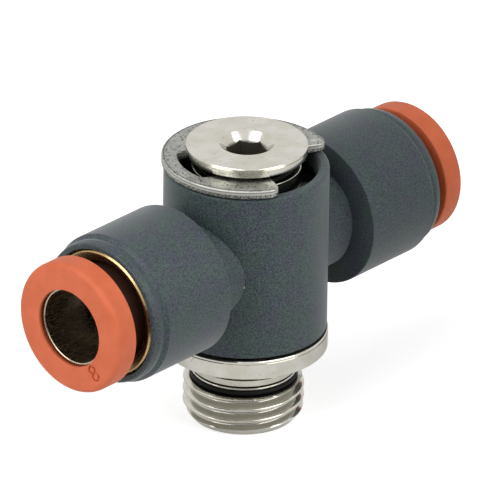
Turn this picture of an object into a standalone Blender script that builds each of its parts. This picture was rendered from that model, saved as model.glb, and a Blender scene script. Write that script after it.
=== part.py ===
"""Swivel banjo flow control valve: a plated stem with a parallel pipe thread,
a moulded body that turns on it, and two in-line push-in ports for 8 mm tube.

Sizes are in millimetres and are turned into metres by MM where meshes are made.
+X runs along the ports, +Z up the stem, and the origin is at the thread's end.
Places along a port are measured outward from the stem's axis.
"""

import math

import bmesh
import bpy
from mathutils import Matrix, Vector

MM = 0.001

# Clearances
RUNNING_GAP = 0.3       # between the turning body and the stem
SEAT_GAP = 0.25         # between a piece and the seat that carries it
SLIP_GAP = 0.2          # radial, round a piece pressed or slipped into a bore
BEYOND = 1.0            # how far a cutting form runs past what it cuts

# Body
BODY_R = 8.95
BODY_WALL = 1.15
BODY_HEIGHT = 19.0
BODY_LIFT = 0.7         # shadow gap between the flange and the body
BODY_RIM_ROUND = 0.35
BODY_BORE_CHAMFER = 0.2

# Stem, up from the thread's end
THREAD_OD = 13.157      # G 1/4
THREAD_LEAD_IN = 1.1
THREAD_LEAD_IN_DEPTH = 0.83
THREAD_LENGTH = 4.6
THREAD_RUN_OUT = 0.45
THREAD_RELIEF = 0.72
NECK_DEPTH = 0.83       # below the thread's crests
NECK_LENGTH = 2.95
SEAL_GROOVE_HEIGHT = 0.8
SEAL_GROOVE_DEPTH = 0.75
SEAL_BULGE = 0.15
FLANGE_HEIGHT = 1.8
FLANGE_LIP = 0.13       # beyond the body
FLANGE_CHAMFER = 0.15
JOURNAL_HEIGHT = 3.1
ORING_SECTION = 1.24
ORING_GROOVE_DEPTH = 1.4
WAIST_R = 5.2
COLLAR_STEP = 0.9
COLLAR_HEIGHT = 0.35
LAND_STEP = 0.73        # beyond the clip's neck
LAND_HEIGHT = 1.6
CLIP_NECK_R = 5.2
HEAD_STEP = 1.4         # beyond the clip's neck
HEAD_HEIGHT = 1.08
HEAD_CHAMFER = 0.2
HEX_ACROSS_FLATS = 4.0
HEX_DEPTH = 4.0
HEX_FLOOR = 1.8
HEX_MOUTH_LIP = 1.0     # of the countersink, beyond the flats
HEX_TURN = 2.0          # degrees
STEM_BORE_R = 3.6
STEM_BORE_CHAMFER = 0.3
DRIVER_HOLE_R = 1.5
METERED_HOLE_R = 1.25
METERED_HOLES = 4
METERED_HOLE_DROP = 0.8  # below the ports' axis
FREE_FLOW_HOLE_R = 0.75
FREE_FLOW_HOLES = 6

# Ports, from the tube outward
TUBE_R = 4.0
TUBE_PLAY = 0.1
TUBE_GUIDE_PLAY = 0.15
PORT_AXIS_HEIGHT = 9.35
PORT_NECK_WALL = 1.9
PORT_NECK_LENGTH = 2.45
PORT_NECK_FILLET = 1.2
PORT_LENGTH = 11.5
PORT_LIP = 0.5          # between the cartridge bore and the mouth's edge
PORT_TAPER_STEP = 0.53
PORT_TAPER_LENGTH = 1.65
PORT_EDGE_ROUND = 0.3
PORT_BORE_CHAMFER = 0.2
PASSAGE_R = 2.9
TUBE_STOP_WALL = 1.0
GLAND_WALL = 1.1
GLAND_LENGTH = 2.2
GLAND_DEPTH = 2.45

# What the ports hold
SUPPORT_RING_HEIGHT = 0.8
SLEEVE_WALL = 0.4
SLEEVE_RECESS = 0.65
SHANK_WALL = 0.88
SHOULDER_STEP = 0.7
SHOULDER_REACH = 0.45
SHOULDER_PLAY = 0.45
THROAT_PLAY = 0.3
THROAT_CLEARANCE = 0.35  # along the port, between the two cones
THROAT_LENGTH = 0.8
FLARE_LENGTH = 0.4
BUSH_WALL = 0.4
BUSH_RECESS = 0.25
BUSH_EDGE = 0.12
CLAW_SET_BACK = 2.1
CLAW_CATCH = 0.4        # beyond the bush's throat
CLAW_LENGTH = 0.8
CLAW_CONE_LENGTH = 0.9
CLAW_SLOT_WIDTH = 0.8
CLAW_SLOT_LENGTH = 3.0
CLAW_SLOT_PAIRS = 3
COLLET_REACH = 5.0      # face beyond the port's mouth, with the collet right out
COLLET_HEAD_LENGTH = 2.75
COLLET_HEAD_LIP = 0.22  # beyond the bush
COLLET_EDGE_ROUND = 0.6
COLLET_MOUTH_LIP = 0.35  # thickness, over the sleeve's end
RIGHT_COLLET_PUSHED_IN = 0.75

# Retaining clip
CLIP_THICKNESS = 0.95
CLIP_OVERHANG = 0.25    # beyond the body
CLIP_BAND = 1.7         # at the windows
CLIP_TURN = 108.5       # direction of the back lobe, degrees
CLIP_BACK_HALF = 23.5
CLIP_WINDOW_END = 79.5
CLIP_WINDOW_EASE = 7.0
CLIP_ARM_END = 138.0
CLIP_CORNER = 1.1
CLIP_TIP = 0.35

# Metering needle, its seat and its bush
SEAT_LIFT = 1.85        # above the lower journal
SEAT_HEIGHT = 2.3
SEAT_THROAT_LENGTH = 0.8
SEAT_ORIFICE_R = 1.3
SEAT_ENTRY_R = 2.4
CHECK_SEAL_LIFT = 0.6   # above the seat's bottom
CHECK_SEAL_HEIGHT = 1.8
CHECK_SEAL_LIP = 0.45
NEEDLE_BUSH_LIFT = 0.45  # above the metered holes
NEEDLE_BUSH_LEAD_IN = 0.3
NEEDLE_R = 1.75
NEEDLE_TOP_CLEARANCE = 0.7
NEEDLE_EDGE = 0.2
NEEDLE_SLOT_WIDTH = 0.6
NEEDLE_SLOT_DEPTH = 0.8
NEEDLE_SEAL_SECTION = 0.5
NEEDLE_SEAL_DROP = 1.6
NEEDLE_STEP = 3.2       # from the seal down to the point's shoulder
NEEDLE_POINT_LENGTH = 1.9
NEEDLE_POINT_PLAY = 0.15
NEEDLE_TIP_R = 0.45
NEEDLE_TIP_ENTRY = 0.7  # below the seat's top

# Facets round a turned piece
FACETS = 32
RING_FACETS = 26
SEAL_FACETS = 20
FINE_FACETS = 16
DRILL_FACETS = 12
ARC_STEPS = 2

# Radii that follow
THREAD_R = THREAD_OD / 2
NECK_R = THREAD_R - NECK_DEPTH
SEAL_GROOVE_R = NECK_R - SEAL_GROOVE_DEPTH
FLANGE_R = BODY_R + FLANGE_LIP
BODY_BORE_R = BODY_R - BODY_WALL
JOURNAL_R = BODY_BORE_R - RUNNING_GAP
ORING_GROOVE_R = JOURNAL_R - ORING_GROOVE_DEPTH
ORING_CENTRE_R = (ORING_GROOVE_R + BODY_BORE_R) / 2
ORING_GROOVE_HEIGHT = ORING_SECTION + 2 * SLIP_GAP
COLLAR_R = WAIST_R + COLLAR_STEP
LAND_R = CLIP_NECK_R + LAND_STEP
HEAD_R = CLIP_NECK_R + HEAD_STEP
HEX_MOUTH_R = HEX_ACROSS_FLATS / 2 + HEX_MOUTH_LIP
CLIP_R = BODY_R + CLIP_OVERHANG
CLIP_LOBE_R = CLIP_NECK_R + SEAT_GAP
CLIP_WINDOW_R = CLIP_R - CLIP_BAND
INSERT_R = STEM_BORE_R - SLIP_GAP
NEEDLE_BORE_R = NEEDLE_R + SEAT_GAP
NEEDLE_POINT_R = SEAT_ORIFICE_R - NEEDLE_POINT_PLAY
TUBE_HOLE_R = TUBE_R + TUBE_PLAY
TUBE_GUIDE_R = TUBE_R + TUBE_GUIDE_PLAY
PORT_NECK_R = TUBE_GUIDE_R + PORT_NECK_WALL
GLAND_R = TUBE_GUIDE_R + GLAND_DEPTH
SLEEVE_R = TUBE_HOLE_R + SLEEVE_WALL
COLLET_BORE_R = SLEEVE_R + SLIP_GAP
SHANK_R = COLLET_BORE_R + SHANK_WALL
SHOULDER_R = SHANK_R + SHOULDER_STEP
THROAT_R = SHANK_R + THROAT_PLAY
CLAW_R = THROAT_R + CLAW_CATCH
BUSH_MOUTH_R = SHOULDER_R + SHOULDER_PLAY
BUSH_R = BUSH_MOUTH_R + BUSH_WALL
COLLET_HEAD_R = BUSH_R + COLLET_HEAD_LIP
CARTRIDGE_BORE_R = BUSH_R + SLIP_GAP
PORT_END_R = CARTRIDGE_BORE_R + PORT_LIP
PORT_R = PORT_END_R + PORT_TAPER_STEP

# Heights that follow, up from the thread's end
FLANGE_BOTTOM = THREAD_LENGTH + SEAL_GROOVE_HEIGHT + NECK_LENGTH
FLANGE_TOP = FLANGE_BOTTOM + FLANGE_HEIGHT
BODY_BOTTOM = FLANGE_TOP + BODY_LIFT
BODY_TOP = BODY_BOTTOM + BODY_HEIGHT
PORT_AXIS_Z = BODY_BOTTOM + PORT_AXIS_HEIGHT
CLIP_BOTTOM = BODY_TOP + SEAT_GAP
CLIP_TOP = CLIP_BOTTOM + CLIP_THICKNESS
HEAD_BOTTOM = CLIP_TOP + SEAT_GAP
HEAD_TOP = HEAD_BOTTOM + HEAD_HEIGHT
LAND_TOP = CLIP_BOTTOM - SLIP_GAP
UPPER_JOURNAL_TOP = LAND_TOP - LAND_HEIGHT
UPPER_JOURNAL_BOTTOM = UPPER_JOURNAL_TOP - JOURNAL_HEIGHT
LOWER_JOURNAL_TOP = FLANGE_TOP + JOURNAL_HEIGHT
LOWER_ORING_Z = FLANGE_TOP + JOURNAL_HEIGHT / 2
UPPER_ORING_Z = UPPER_JOURNAL_TOP - JOURNAL_HEIGHT / 2
SEAT_BOTTOM = LOWER_JOURNAL_TOP + SEAT_LIFT
SEAT_TOP = SEAT_BOTTOM + SEAT_HEIGHT
CHECK_SEAL_BOTTOM = SEAT_BOTTOM + CHECK_SEAL_LIFT
CHECK_SEAL_TOP = CHECK_SEAL_BOTTOM + CHECK_SEAL_HEIGHT
METERED_HOLE_Z = PORT_AXIS_Z - METERED_HOLE_DROP
FREE_FLOW_HOLE_Z = LOWER_JOURNAL_TOP + FREE_FLOW_HOLE_R + SLIP_GAP / 2
STEM_BORE_TOP = HEAD_TOP - HEX_DEPTH - HEX_FLOOR
NEEDLE_BUSH_BOTTOM = METERED_HOLE_Z + METERED_HOLE_R + NEEDLE_BUSH_LIFT
NEEDLE_TOP = STEM_BORE_TOP - NEEDLE_TOP_CLEARANCE
NEEDLE_SEAL_Z = NEEDLE_TOP - NEEDLE_SEAL_DROP
NEEDLE_TIP_Z = SEAT_TOP - NEEDLE_TIP_ENTRY

# Places along a port that follow
PORT_START = BODY_R + PORT_NECK_LENGTH
PORT_END = PORT_START + PORT_LENGTH
TUBE_STOP = BODY_BORE_R + TUBE_STOP_WALL
GLAND_START = PORT_START + GLAND_WALL
GLAND_END = GLAND_START + GLAND_LENGTH
SUPPORT_RING_START = GLAND_END + SEAT_GAP
BUSH_START = SUPPORT_RING_START + SUPPORT_RING_HEIGHT + SEAT_GAP
BUSH_END = PORT_END - BUSH_RECESS
CLAW_START = BUSH_START + CLAW_SET_BACK
CLAW_END = CLAW_START + CLAW_LENGTH
CLAW_CONE_END = CLAW_END + CLAW_CONE_LENGTH
THROAT_START = CLAW_END + CLAW_CATCH + THROAT_CLEARANCE
BUSH_CONE_START = THROAT_START - (BUSH_MOUTH_R - THROAT_R)
THROAT_END = THROAT_START + THROAT_LENGTH
COLLET_FACE = PORT_END + COLLET_REACH
COLLET_HEAD_START = COLLET_FACE - COLLET_HEAD_LENGTH
SHOULDER_START = PORT_END + SHOULDER_REACH
SHANK_START = CLAW_START + CLAW_SLOT_LENGTH + SLIP_GAP / 2


# ---------------------------------------------------------------- tools

def clear_scene():
    for old in list(bpy.data.objects):
        bpy.data.objects.remove(old, do_unlink=True)


def new_collection(name):
    collection = bpy.data.collections.new(name)
    bpy.context.scene.collection.children.link(collection)
    return collection


def principled(name, colour, roughness, metallic=0.0):
    material = bpy.data.materials.new(name)
    material.use_nodes = True
    shader = material.node_tree.nodes["Principled BSDF"]
    shader.inputs["Base Color"].default_value = (*colour, 1.0)
    shader.inputs["Roughness"].default_value = roughness
    shader.inputs["Metallic"].default_value = metallic
    return material


def arc(centre, radius, start, end, steps=ARC_STEPS):
    """Points on a circular arc, angles in degrees."""
    points = []
    for step in range(steps + 1):
        angle = math.radians(start + (end - start) * step / steps)
        points.append((centre[0] + radius * math.cos(angle), centre[1] + radius * math.sin(angle)))
    return points


def turned(name, profile, collection, material=None, facets=FACETS, hollow=True):
    """A solid turned about its own Z axis from (radius, height) points.

    The points run down the outer side. A hollow profile is a loop that stays clear
    of the axis; the other kind starts and ends on the axis.
    """
    mesh = bpy.data.meshes.new(name)
    vertices = [(radius * MM, 0.0, height * MM) for radius, height in profile]
    edges = [(i, i + 1) for i in range(len(vertices) - 1)]
    if hollow:
        edges.append((len(vertices) - 1, 0))
    mesh.from_pydata(vertices, edges, [])
    if material:
        mesh.materials.append(material)
    piece = bpy.data.objects.new(name, mesh)
    collection.objects.link(piece)
    screw = piece.modifiers.new("Turn", "SCREW")
    screw.steps = facets
    screw.render_steps = facets
    screw.use_merge_vertices = True
    screw.merge_threshold = 0.00001
    return piece


def along_port(piece, side):
    """Lay a turned piece along the left (-1) or right (+1) port, its axis outward."""
    piece.rotation_euler = (0.0, math.radians(90.0) * side, 0.0)
    piece.location = Vector((0.0, 0.0, PORT_AXIS_Z)) * MM


def prism(name, collection, sides, radius, length, at, turn=(0.0, 0.0, 0.0)):
    """A straight prism or drill centred at a place, its axis turned from Z."""
    mesh = bpy.data.meshes.new(name)
    shape = bmesh.new()
    bmesh.ops.create_cone(shape, cap_ends=True, segments=sides, radius1=radius * MM,
                          radius2=radius * MM, depth=length * MM)
    shape.to_mesh(mesh)
    shape.free()
    drill = bpy.data.objects.new(name, mesh)
    drill.location = Vector(at) * MM
    drill.rotation_euler = turn
    collection.objects.link(drill)
    return drill


def box(name, collection, size, at, turn=(0.0, 0.0, 0.0)):
    mesh = bpy.data.meshes.new(name)
    shape = bmesh.new()
    bmesh.ops.create_cube(shape, size=1.0, matrix=Matrix.Diagonal(Vector(size) * MM).to_4x4())
    shape.to_mesh(mesh)
    shape.free()
    block = bpy.data.objects.new(name, mesh)
    block.location = Vector(at) * MM
    block.rotation_euler = turn
    collection.objects.link(block)
    return block


def combine(piece, other, operation):
    """Join another shape to a piece, or cut it away, and hide that shape."""
    boolean = piece.modifiers.new(operation.title() + " " + other.name, "BOOLEAN")
    boolean.operation = operation
    boolean.solver = "EXACT"
    boolean.object = other
    other.hide_render = True
    other.display_type = "WIRE"


def ring_section(centre_r, centre_z, section, steps):
    """The round section of an O-ring, running down its outer side."""
    return arc((centre_r, centre_z), section / 2, 90.0, -270.0, steps)[:-1]


def settle(parts):
    """Make every part a plain mesh, smooth but for its sharp edges."""
    graph = bpy.context.evaluated_depsgraph_get()
    for piece in list(parts.objects):
        mesh = bpy.data.meshes.new_from_object(piece.evaluated_get(graph))
        mesh.name = piece.name
        mesh.shade_smooth()
        mesh.set_sharp_from_angle(angle=math.radians(35.0))
        piece.modifiers.clear()
        piece.data = mesh


# ---------------------------------------------------------------- stem

def oring_groove(centre_z):
    """An O-ring groove in a journal, running down."""
    top = centre_z + ORING_GROOVE_HEIGHT / 2
    bottom = centre_z - ORING_GROOVE_HEIGHT / 2
    return [(JOURNAL_R, top), (ORING_GROOVE_R, top), (ORING_GROOVE_R, bottom), (JOURNAL_R, bottom)]


def collar(bottom):
    """One of the two collars that hold the check seal on the waist, running down."""
    top = bottom + COLLAR_HEIGHT
    return [(WAIST_R, top), (COLLAR_R, top), (COLLAR_R, bottom), (WAIST_R, bottom)]


def stem_outline():
    outer = [
        (HEAD_R - HEAD_CHAMFER, HEAD_TOP),
        (HEAD_R, HEAD_TOP - HEAD_CHAMFER),
        (HEAD_R, HEAD_BOTTOM),
        (CLIP_NECK_R, HEAD_BOTTOM),
        (CLIP_NECK_R, LAND_TOP),
        (LAND_R, LAND_TOP),
        (LAND_R, UPPER_JOURNAL_TOP),
        (JOURNAL_R, UPPER_JOURNAL_TOP),
        *oring_groove(UPPER_ORING_Z),
        (JOURNAL_R, UPPER_JOURNAL_BOTTOM),
        (WAIST_R, UPPER_JOURNAL_BOTTOM),
        *collar(CHECK_SEAL_TOP + SLIP_GAP),
        *collar(CHECK_SEAL_BOTTOM - SLIP_GAP - COLLAR_HEIGHT),
        (WAIST_R, LOWER_JOURNAL_TOP),
        (JOURNAL_R, LOWER_JOURNAL_TOP),
        *oring_groove(LOWER_ORING_Z),
        (JOURNAL_R, FLANGE_TOP),
        (FLANGE_R - FLANGE_CHAMFER, FLANGE_TOP),
        (FLANGE_R, FLANGE_TOP - FLANGE_CHAMFER),
        (FLANGE_R, FLANGE_BOTTOM + FLANGE_CHAMFER),
        (FLANGE_R - FLANGE_CHAMFER, FLANGE_BOTTOM),
        (NECK_R, FLANGE_BOTTOM),
        (NECK_R, THREAD_LENGTH + SEAL_GROOVE_HEIGHT),
        (SEAL_GROOVE_R, THREAD_LENGTH + SEAL_GROOVE_HEIGHT),
        (SEAL_GROOVE_R, THREAD_LENGTH),
        (THREAD_R - THREAD_RELIEF, THREAD_LENGTH),
        (THREAD_R, THREAD_LENGTH - THREAD_RUN_OUT),
        (THREAD_R, THREAD_LEAD_IN),
        (THREAD_R - THREAD_LEAD_IN_DEPTH, 0.0),
    ]
    inner = [
        (STEM_BORE_R + STEM_BORE_CHAMFER, 0.0),
        (STEM_BORE_R, STEM_BORE_CHAMFER),
        (STEM_BORE_R, STEM_BORE_TOP),
        (DRIVER_HOLE_R, STEM_BORE_TOP),
        (DRIVER_HOLE_R, HEAD_TOP),
    ]
    return outer + inner


def hex_socket(cutters):
    corner_r = HEX_ACROSS_FLATS / math.sqrt(3.0)
    turn = (0.0, 0.0, math.radians(90.0 + HEX_TURN))
    return prism("hex_form", cutters, 6, corner_r, 2 * HEX_DEPTH, (0, 0, HEAD_TOP), turn)


def countersink(cutters):
    outline = [
        (0.0, HEAD_TOP + BEYOND),
        (HEX_MOUTH_R + BEYOND, HEAD_TOP + BEYOND),
        (0.0, HEAD_TOP - HEX_MOUTH_R),
    ]
    return turned("countersink_form", outline, cutters, facets=RING_FACETS, hollow=False)


def cross_drills(cutters, name, radius, count, height):
    """Radial holes through the stem's waist, drilled straight across in pairs."""
    drills = []
    for index in range(count // 2):
        turn = (0.0, math.radians(90.0), math.radians(360.0 * index / count + 45.0))
        drill = prism(f"{name}_{index}", cutters, DRILL_FACETS, radius, 2 * JOURNAL_R, (0, 0, height), turn)
        drills.append(drill)
    return drills


def make_stem(parts, cutters, plated):
    stem = turned("stem", stem_outline(), parts, plated)
    combine(stem, hex_socket(cutters), "DIFFERENCE")
    combine(stem, countersink(cutters), "DIFFERENCE")
    metered = cross_drills(cutters, "metered_drill", METERED_HOLE_R, METERED_HOLES, METERED_HOLE_Z)
    free = cross_drills(cutters, "free_drill", FREE_FLOW_HOLE_R, FREE_FLOW_HOLES, FREE_FLOW_HOLE_Z)
    for drill in metered + free:
        combine(stem, drill, "DIFFERENCE")


def make_stem_seals(parts, rubber):
    for name, height in (("lower_stem_seal", LOWER_ORING_Z), ("upper_stem_seal", UPPER_ORING_Z)):
        section = ring_section(ORING_CENTRE_R, height, ORING_SECTION, 8)
        turned(name, section, parts, rubber, SEAL_FACETS)


def make_thread_seal(parts, rubber):
    """The ring under the flange, with a rounded outer side."""
    height = SEAL_GROOVE_HEIGHT - SEAT_GAP
    bottom = THREAD_LENGTH + SEAT_GAP / 2
    inner_r = SEAL_GROOVE_R + SLIP_GAP
    bulge = height / 2
    round_side = arc((NECK_R + SEAL_BULGE - bulge, bottom + bulge), bulge, 90.0, -90.0, 4)
    outline = [*round_side, (inner_r, bottom), (inner_r, bottom + height)]
    turned("thread_seal", outline, parts, rubber)


def make_check_seal(parts, rubber):
    """A ring with one thin lip that leans down and out toward the body's bore."""
    inner_r = WAIST_R + SLIP_GAP
    lip_r = BODY_BORE_R - SLIP_GAP
    lip = CHECK_SEAL_LIP
    outline = [
        (lip_r - lip, CHECK_SEAL_TOP),
        (lip_r - lip, CHECK_SEAL_BOTTOM + 2 * lip),
        (lip_r, CHECK_SEAL_BOTTOM),
        (lip_r - lip, CHECK_SEAL_BOTTOM),
        (inner_r + 2 * lip, CHECK_SEAL_TOP - lip),
        (inner_r + lip, CHECK_SEAL_BOTTOM + lip),
        (inner_r, CHECK_SEAL_BOTTOM + lip),
        (inner_r, CHECK_SEAL_TOP),
    ]
    turned("check_seal", outline, parts, rubber, SEAL_FACETS)


# ---------------------------------------------------------------- retaining clip

def clip_inner_radius(angle):
    """The clip's inner edge: three lobes on the stem with two windows between them."""
    inside = min(abs(angle) - CLIP_BACK_HALF, CLIP_WINDOW_END - abs(angle))
    share = min(max(inside / CLIP_WINDOW_EASE + 0.5, 0.0), 1.0)
    blend = share * share * (3.0 - 2.0 * share)
    return CLIP_LOBE_R + (CLIP_WINDOW_R - CLIP_LOBE_R) * blend


def polar(radius, angle):
    """A point by its angle from the clip's back lobe, in degrees."""
    turn = math.radians(angle + CLIP_TURN)
    return Vector((radius * math.cos(turn), radius * math.sin(turn)))


def clip_arm_end():
    """The rounded end of an arm, as (radius, angle) from its outer to its inner edge."""
    corner_turn = math.degrees(math.asin(CLIP_CORNER / (CLIP_R - CLIP_CORNER)))
    tip_turn = math.degrees(math.asin(CLIP_TIP / (CLIP_LOBE_R + CLIP_TIP)))
    corner = (CLIP_R - CLIP_CORNER, CLIP_ARM_END - corner_turn, CLIP_CORNER, 0.0, 90.0, 4)
    tip = (CLIP_LOBE_R + CLIP_TIP, CLIP_ARM_END - tip_turn, CLIP_TIP, 90.0, 180.0, 2)
    points = []
    for centre_r, centre_turn, radius, start, end, steps in (corner, tip):
        for along, across in arc((centre_r, 0.0), radius, start, end, steps):
            points.append((math.hypot(along, across),
                           centre_turn + math.degrees(math.atan2(across, along))))
    return points


def clip_outline():
    """One arm from the back to its end and in again, then its mirror image."""
    end = clip_arm_end()
    outer_steps = 16
    inner_steps = 26
    arm = [(CLIP_R, end[0][1] * step / outer_steps) for step in range(outer_steps)]
    arm += end
    for step in range(1, inner_steps + 1):
        angle = end[-1][1] * (1.0 - step / inner_steps)
        arm.append((clip_inner_radius(angle), angle))
    other_arm = [(radius, -angle) for radius, angle in reversed(arm[1:-1])]
    return [polar(radius, angle) for radius, angle in arm + other_arm]


def make_clip(parts, spring):
    curve = bpy.data.curves.new("retaining_clip", "CURVE")
    curve.dimensions = "2D"
    curve.fill_mode = "BOTH"
    curve.extrude = CLIP_THICKNESS / 2 * MM
    outline = clip_outline()
    spline = curve.splines.new("POLY")
    spline.points.add(len(outline) - 1)
    for point, place in zip(spline.points, outline):
        point.co = (place.x * MM, place.y * MM, 0.0, 1.0)
    spline.use_cyclic_u = True
    flat = bpy.data.objects.new("clip_outline", curve)
    parts.objects.link(flat)
    graph = bpy.context.evaluated_depsgraph_get()
    mesh = bpy.data.meshes.new_from_object(flat.evaluated_get(graph))
    bpy.data.objects.remove(flat)
    shape = bmesh.new()
    shape.from_mesh(mesh)
    bmesh.ops.remove_doubles(shape, verts=shape.verts, dist=0.000001)
    shape.to_mesh(mesh)
    shape.free()
    mesh.materials.clear()
    mesh.materials.append(spring)
    clip = bpy.data.objects.new("retaining_clip", mesh)
    clip.location = (0.0, 0.0, (CLIP_BOTTOM + CLIP_TOP) / 2 * MM)
    parts.objects.link(clip)


# ---------------------------------------------------------------- metering insert

def make_metering_seat(parts, brass):
    cone_height = (SEAT_HEIGHT - SEAT_THROAT_LENGTH) / 2
    outline = [
        (INSERT_R, SEAT_TOP),
        (INSERT_R, SEAT_BOTTOM),
        (SEAT_ENTRY_R, SEAT_BOTTOM),
        (SEAT_ORIFICE_R, SEAT_BOTTOM + cone_height),
        (SEAT_ORIFICE_R, SEAT_TOP - cone_height),
        (SEAT_ENTRY_R, SEAT_TOP),
    ]
    turned("metering_seat", outline, parts, brass, SEAL_FACETS)


def make_needle_bush(parts, brass):
    top = STEM_BORE_TOP - SEAT_GAP
    outline = [
        (INSERT_R, top),
        (INSERT_R, NEEDLE_BUSH_BOTTOM),
        (NEEDLE_BORE_R + NEEDLE_BUSH_LEAD_IN, NEEDLE_BUSH_BOTTOM),
        (NEEDLE_BORE_R, NEEDLE_BUSH_BOTTOM + NEEDLE_BUSH_LEAD_IN),
        (NEEDLE_BORE_R, top),
    ]
    turned("needle_bush", outline, parts, brass, SEAL_FACETS)


def make_needle(parts, cutters, brass, rubber):
    half_groove = (NEEDLE_SEAL_SECTION + SLIP_GAP) / 2
    groove_r = NEEDLE_R - NEEDLE_SEAL_SECTION - SLIP_GAP / 2
    step_z = NEEDLE_SEAL_Z - NEEDLE_STEP
    outline = [
        (0.0, NEEDLE_TOP),
        (NEEDLE_R - NEEDLE_EDGE, NEEDLE_TOP),
        (NEEDLE_R, NEEDLE_TOP - NEEDLE_EDGE),
        (NEEDLE_R, NEEDLE_SEAL_Z + half_groove),
        (groove_r, NEEDLE_SEAL_Z + half_groove),
        (groove_r, NEEDLE_SEAL_Z - half_groove),
        (NEEDLE_R, NEEDLE_SEAL_Z - half_groove),
        (NEEDLE_R, step_z),
        (NEEDLE_POINT_R, step_z - NEEDLE_R + NEEDLE_POINT_R),
        (NEEDLE_POINT_R, NEEDLE_TIP_Z + NEEDLE_POINT_LENGTH),
        (NEEDLE_TIP_R, NEEDLE_TIP_Z),
        (0.0, NEEDLE_TIP_Z),
    ]
    needle = turned("flow_needle", outline, parts, brass, SEAL_FACETS, hollow=False)
    size = (NEEDLE_SLOT_WIDTH, 3 * NEEDLE_R, 2 * NEEDLE_SLOT_DEPTH)
    combine(needle, box("needle_slot_form", cutters, size, (0, 0, NEEDLE_TOP)), "DIFFERENCE")
    centre_r = groove_r + (SLIP_GAP + NEEDLE_SEAL_SECTION) / 2
    section = ring_section(centre_r, NEEDLE_SEAL_Z, NEEDLE_SEAL_SECTION, 6)
    turned("needle_seal", section, parts, rubber, FINE_FACETS)


# ---------------------------------------------------------------- body

def port_outline():
    """The outside of one port, from its mouth in to the body's middle."""
    edge = PORT_EDGE_ROUND
    inside = BODY_BORE_R / 4
    mouth = arc((PORT_END_R - edge, PORT_END - edge), edge, 90.0, 0.0)
    corner = arc((PORT_R - edge, PORT_START + edge), edge, 0.0, -90.0)
    fillet_centre = (PORT_NECK_R + PORT_NECK_FILLET, PORT_START - PORT_NECK_FILLET)
    fillet = arc(fillet_centre, PORT_NECK_FILLET, 90.0, 180.0, 3)
    return [(0.0, PORT_END), *mouth, (PORT_R, PORT_END - PORT_TAPER_LENGTH), *corner, *fillet,
            (PORT_NECK_R, inside), (0.0, inside)]


def port_bore_outline():
    """Everything hollow in one port, from beyond its mouth in to the stem's bore."""
    inside = BODY_BORE_R / 2
    return [
        (0.0, PORT_END + BEYOND),
        (CARTRIDGE_BORE_R + PORT_BORE_CHAMFER, PORT_END + BEYOND),
        (CARTRIDGE_BORE_R + PORT_BORE_CHAMFER, PORT_END),
        (CARTRIDGE_BORE_R, PORT_END - PORT_BORE_CHAMFER),
        (CARTRIDGE_BORE_R, GLAND_END),
        (GLAND_R, GLAND_END),
        (GLAND_R, GLAND_START),
        (TUBE_GUIDE_R, GLAND_START),
        (TUBE_GUIDE_R, TUBE_STOP),
        (PASSAGE_R, TUBE_STOP),
        (PASSAGE_R, inside),
        (0.0, inside),
    ]


def body_outline():
    edge = BODY_RIM_ROUND
    top_edge = arc((BODY_R - edge, BODY_TOP - edge), edge, 90.0, 0.0)
    bottom_edge = arc((BODY_R - edge, BODY_BOTTOM + edge), edge, 0.0, -90.0)
    return [(0.0, BODY_TOP), *top_edge, *bottom_edge, (0.0, BODY_BOTTOM)]


def body_bore_outline():
    return [
        (0.0, BODY_TOP + BEYOND),
        (BODY_BORE_R + BODY_BORE_CHAMFER, BODY_TOP + BEYOND),
        (BODY_BORE_R + BODY_BORE_CHAMFER, BODY_TOP),
        (BODY_BORE_R, BODY_TOP - BODY_BORE_CHAMFER),
        (BODY_BORE_R, BODY_BOTTOM - BEYOND),
        (0.0, BODY_BOTTOM - BEYOND),
    ]


def make_body(parts, cutters, polymer):
    body = turned("banjo_body", body_outline(), parts, polymer, hollow=False)
    for side, word in ((-1, "left"), (1, "right")):
        port = turned(f"{word}_port_form", port_outline(), cutters, hollow=False)
        along_port(port, side)
        combine(body, port, "UNION")
    bore = turned("body_bore_form", body_bore_outline(), cutters, hollow=False)
    combine(body, bore, "DIFFERENCE")
    for side, word in ((-1, "left"), (1, "right")):
        hollow = turned(f"{word}_bore_form", port_bore_outline(), cutters, hollow=False)
        along_port(hollow, side)
        combine(body, hollow, "DIFFERENCE")


# ---------------------------------------------------------------- push-in port pieces

def make_tube_seal(parts, side, word, rubber):
    """A moulded ring whose inner lip meets the tube."""
    inner = GLAND_START + SEAT_GAP
    middle = (inner + GLAND_END) / 2
    seat_r = GLAND_R - SEAT_GAP
    lip_r = TUBE_HOLE_R + SLIP_GAP / 4
    half_lip = 0.2
    web_r = lip_r + (GLAND_END - inner) / 2 - half_lip
    outline = [
        (seat_r, GLAND_END),
        (seat_r, inner),
        (web_r, inner),
        (lip_r, middle - half_lip),
        (lip_r, middle + half_lip),
        (web_r, GLAND_END),
    ]
    seal = turned(f"{word}_tube_seal", outline, parts, rubber, SEAL_FACETS)
    along_port(seal, side)


def make_support_ring(parts, side, word, acetal):
    inner = SUPPORT_RING_START
    outer = inner + SUPPORT_RING_HEIGHT
    hole_r = TUBE_HOLE_R + SLIP_GAP
    outline = [(BUSH_R, outer), (BUSH_R, inner), (hole_r, inner), (hole_r, outer)]
    ring = turned(f"{word}_support_ring", outline, parts, acetal, SEAL_FACETS)
    along_port(ring, side)


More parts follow.
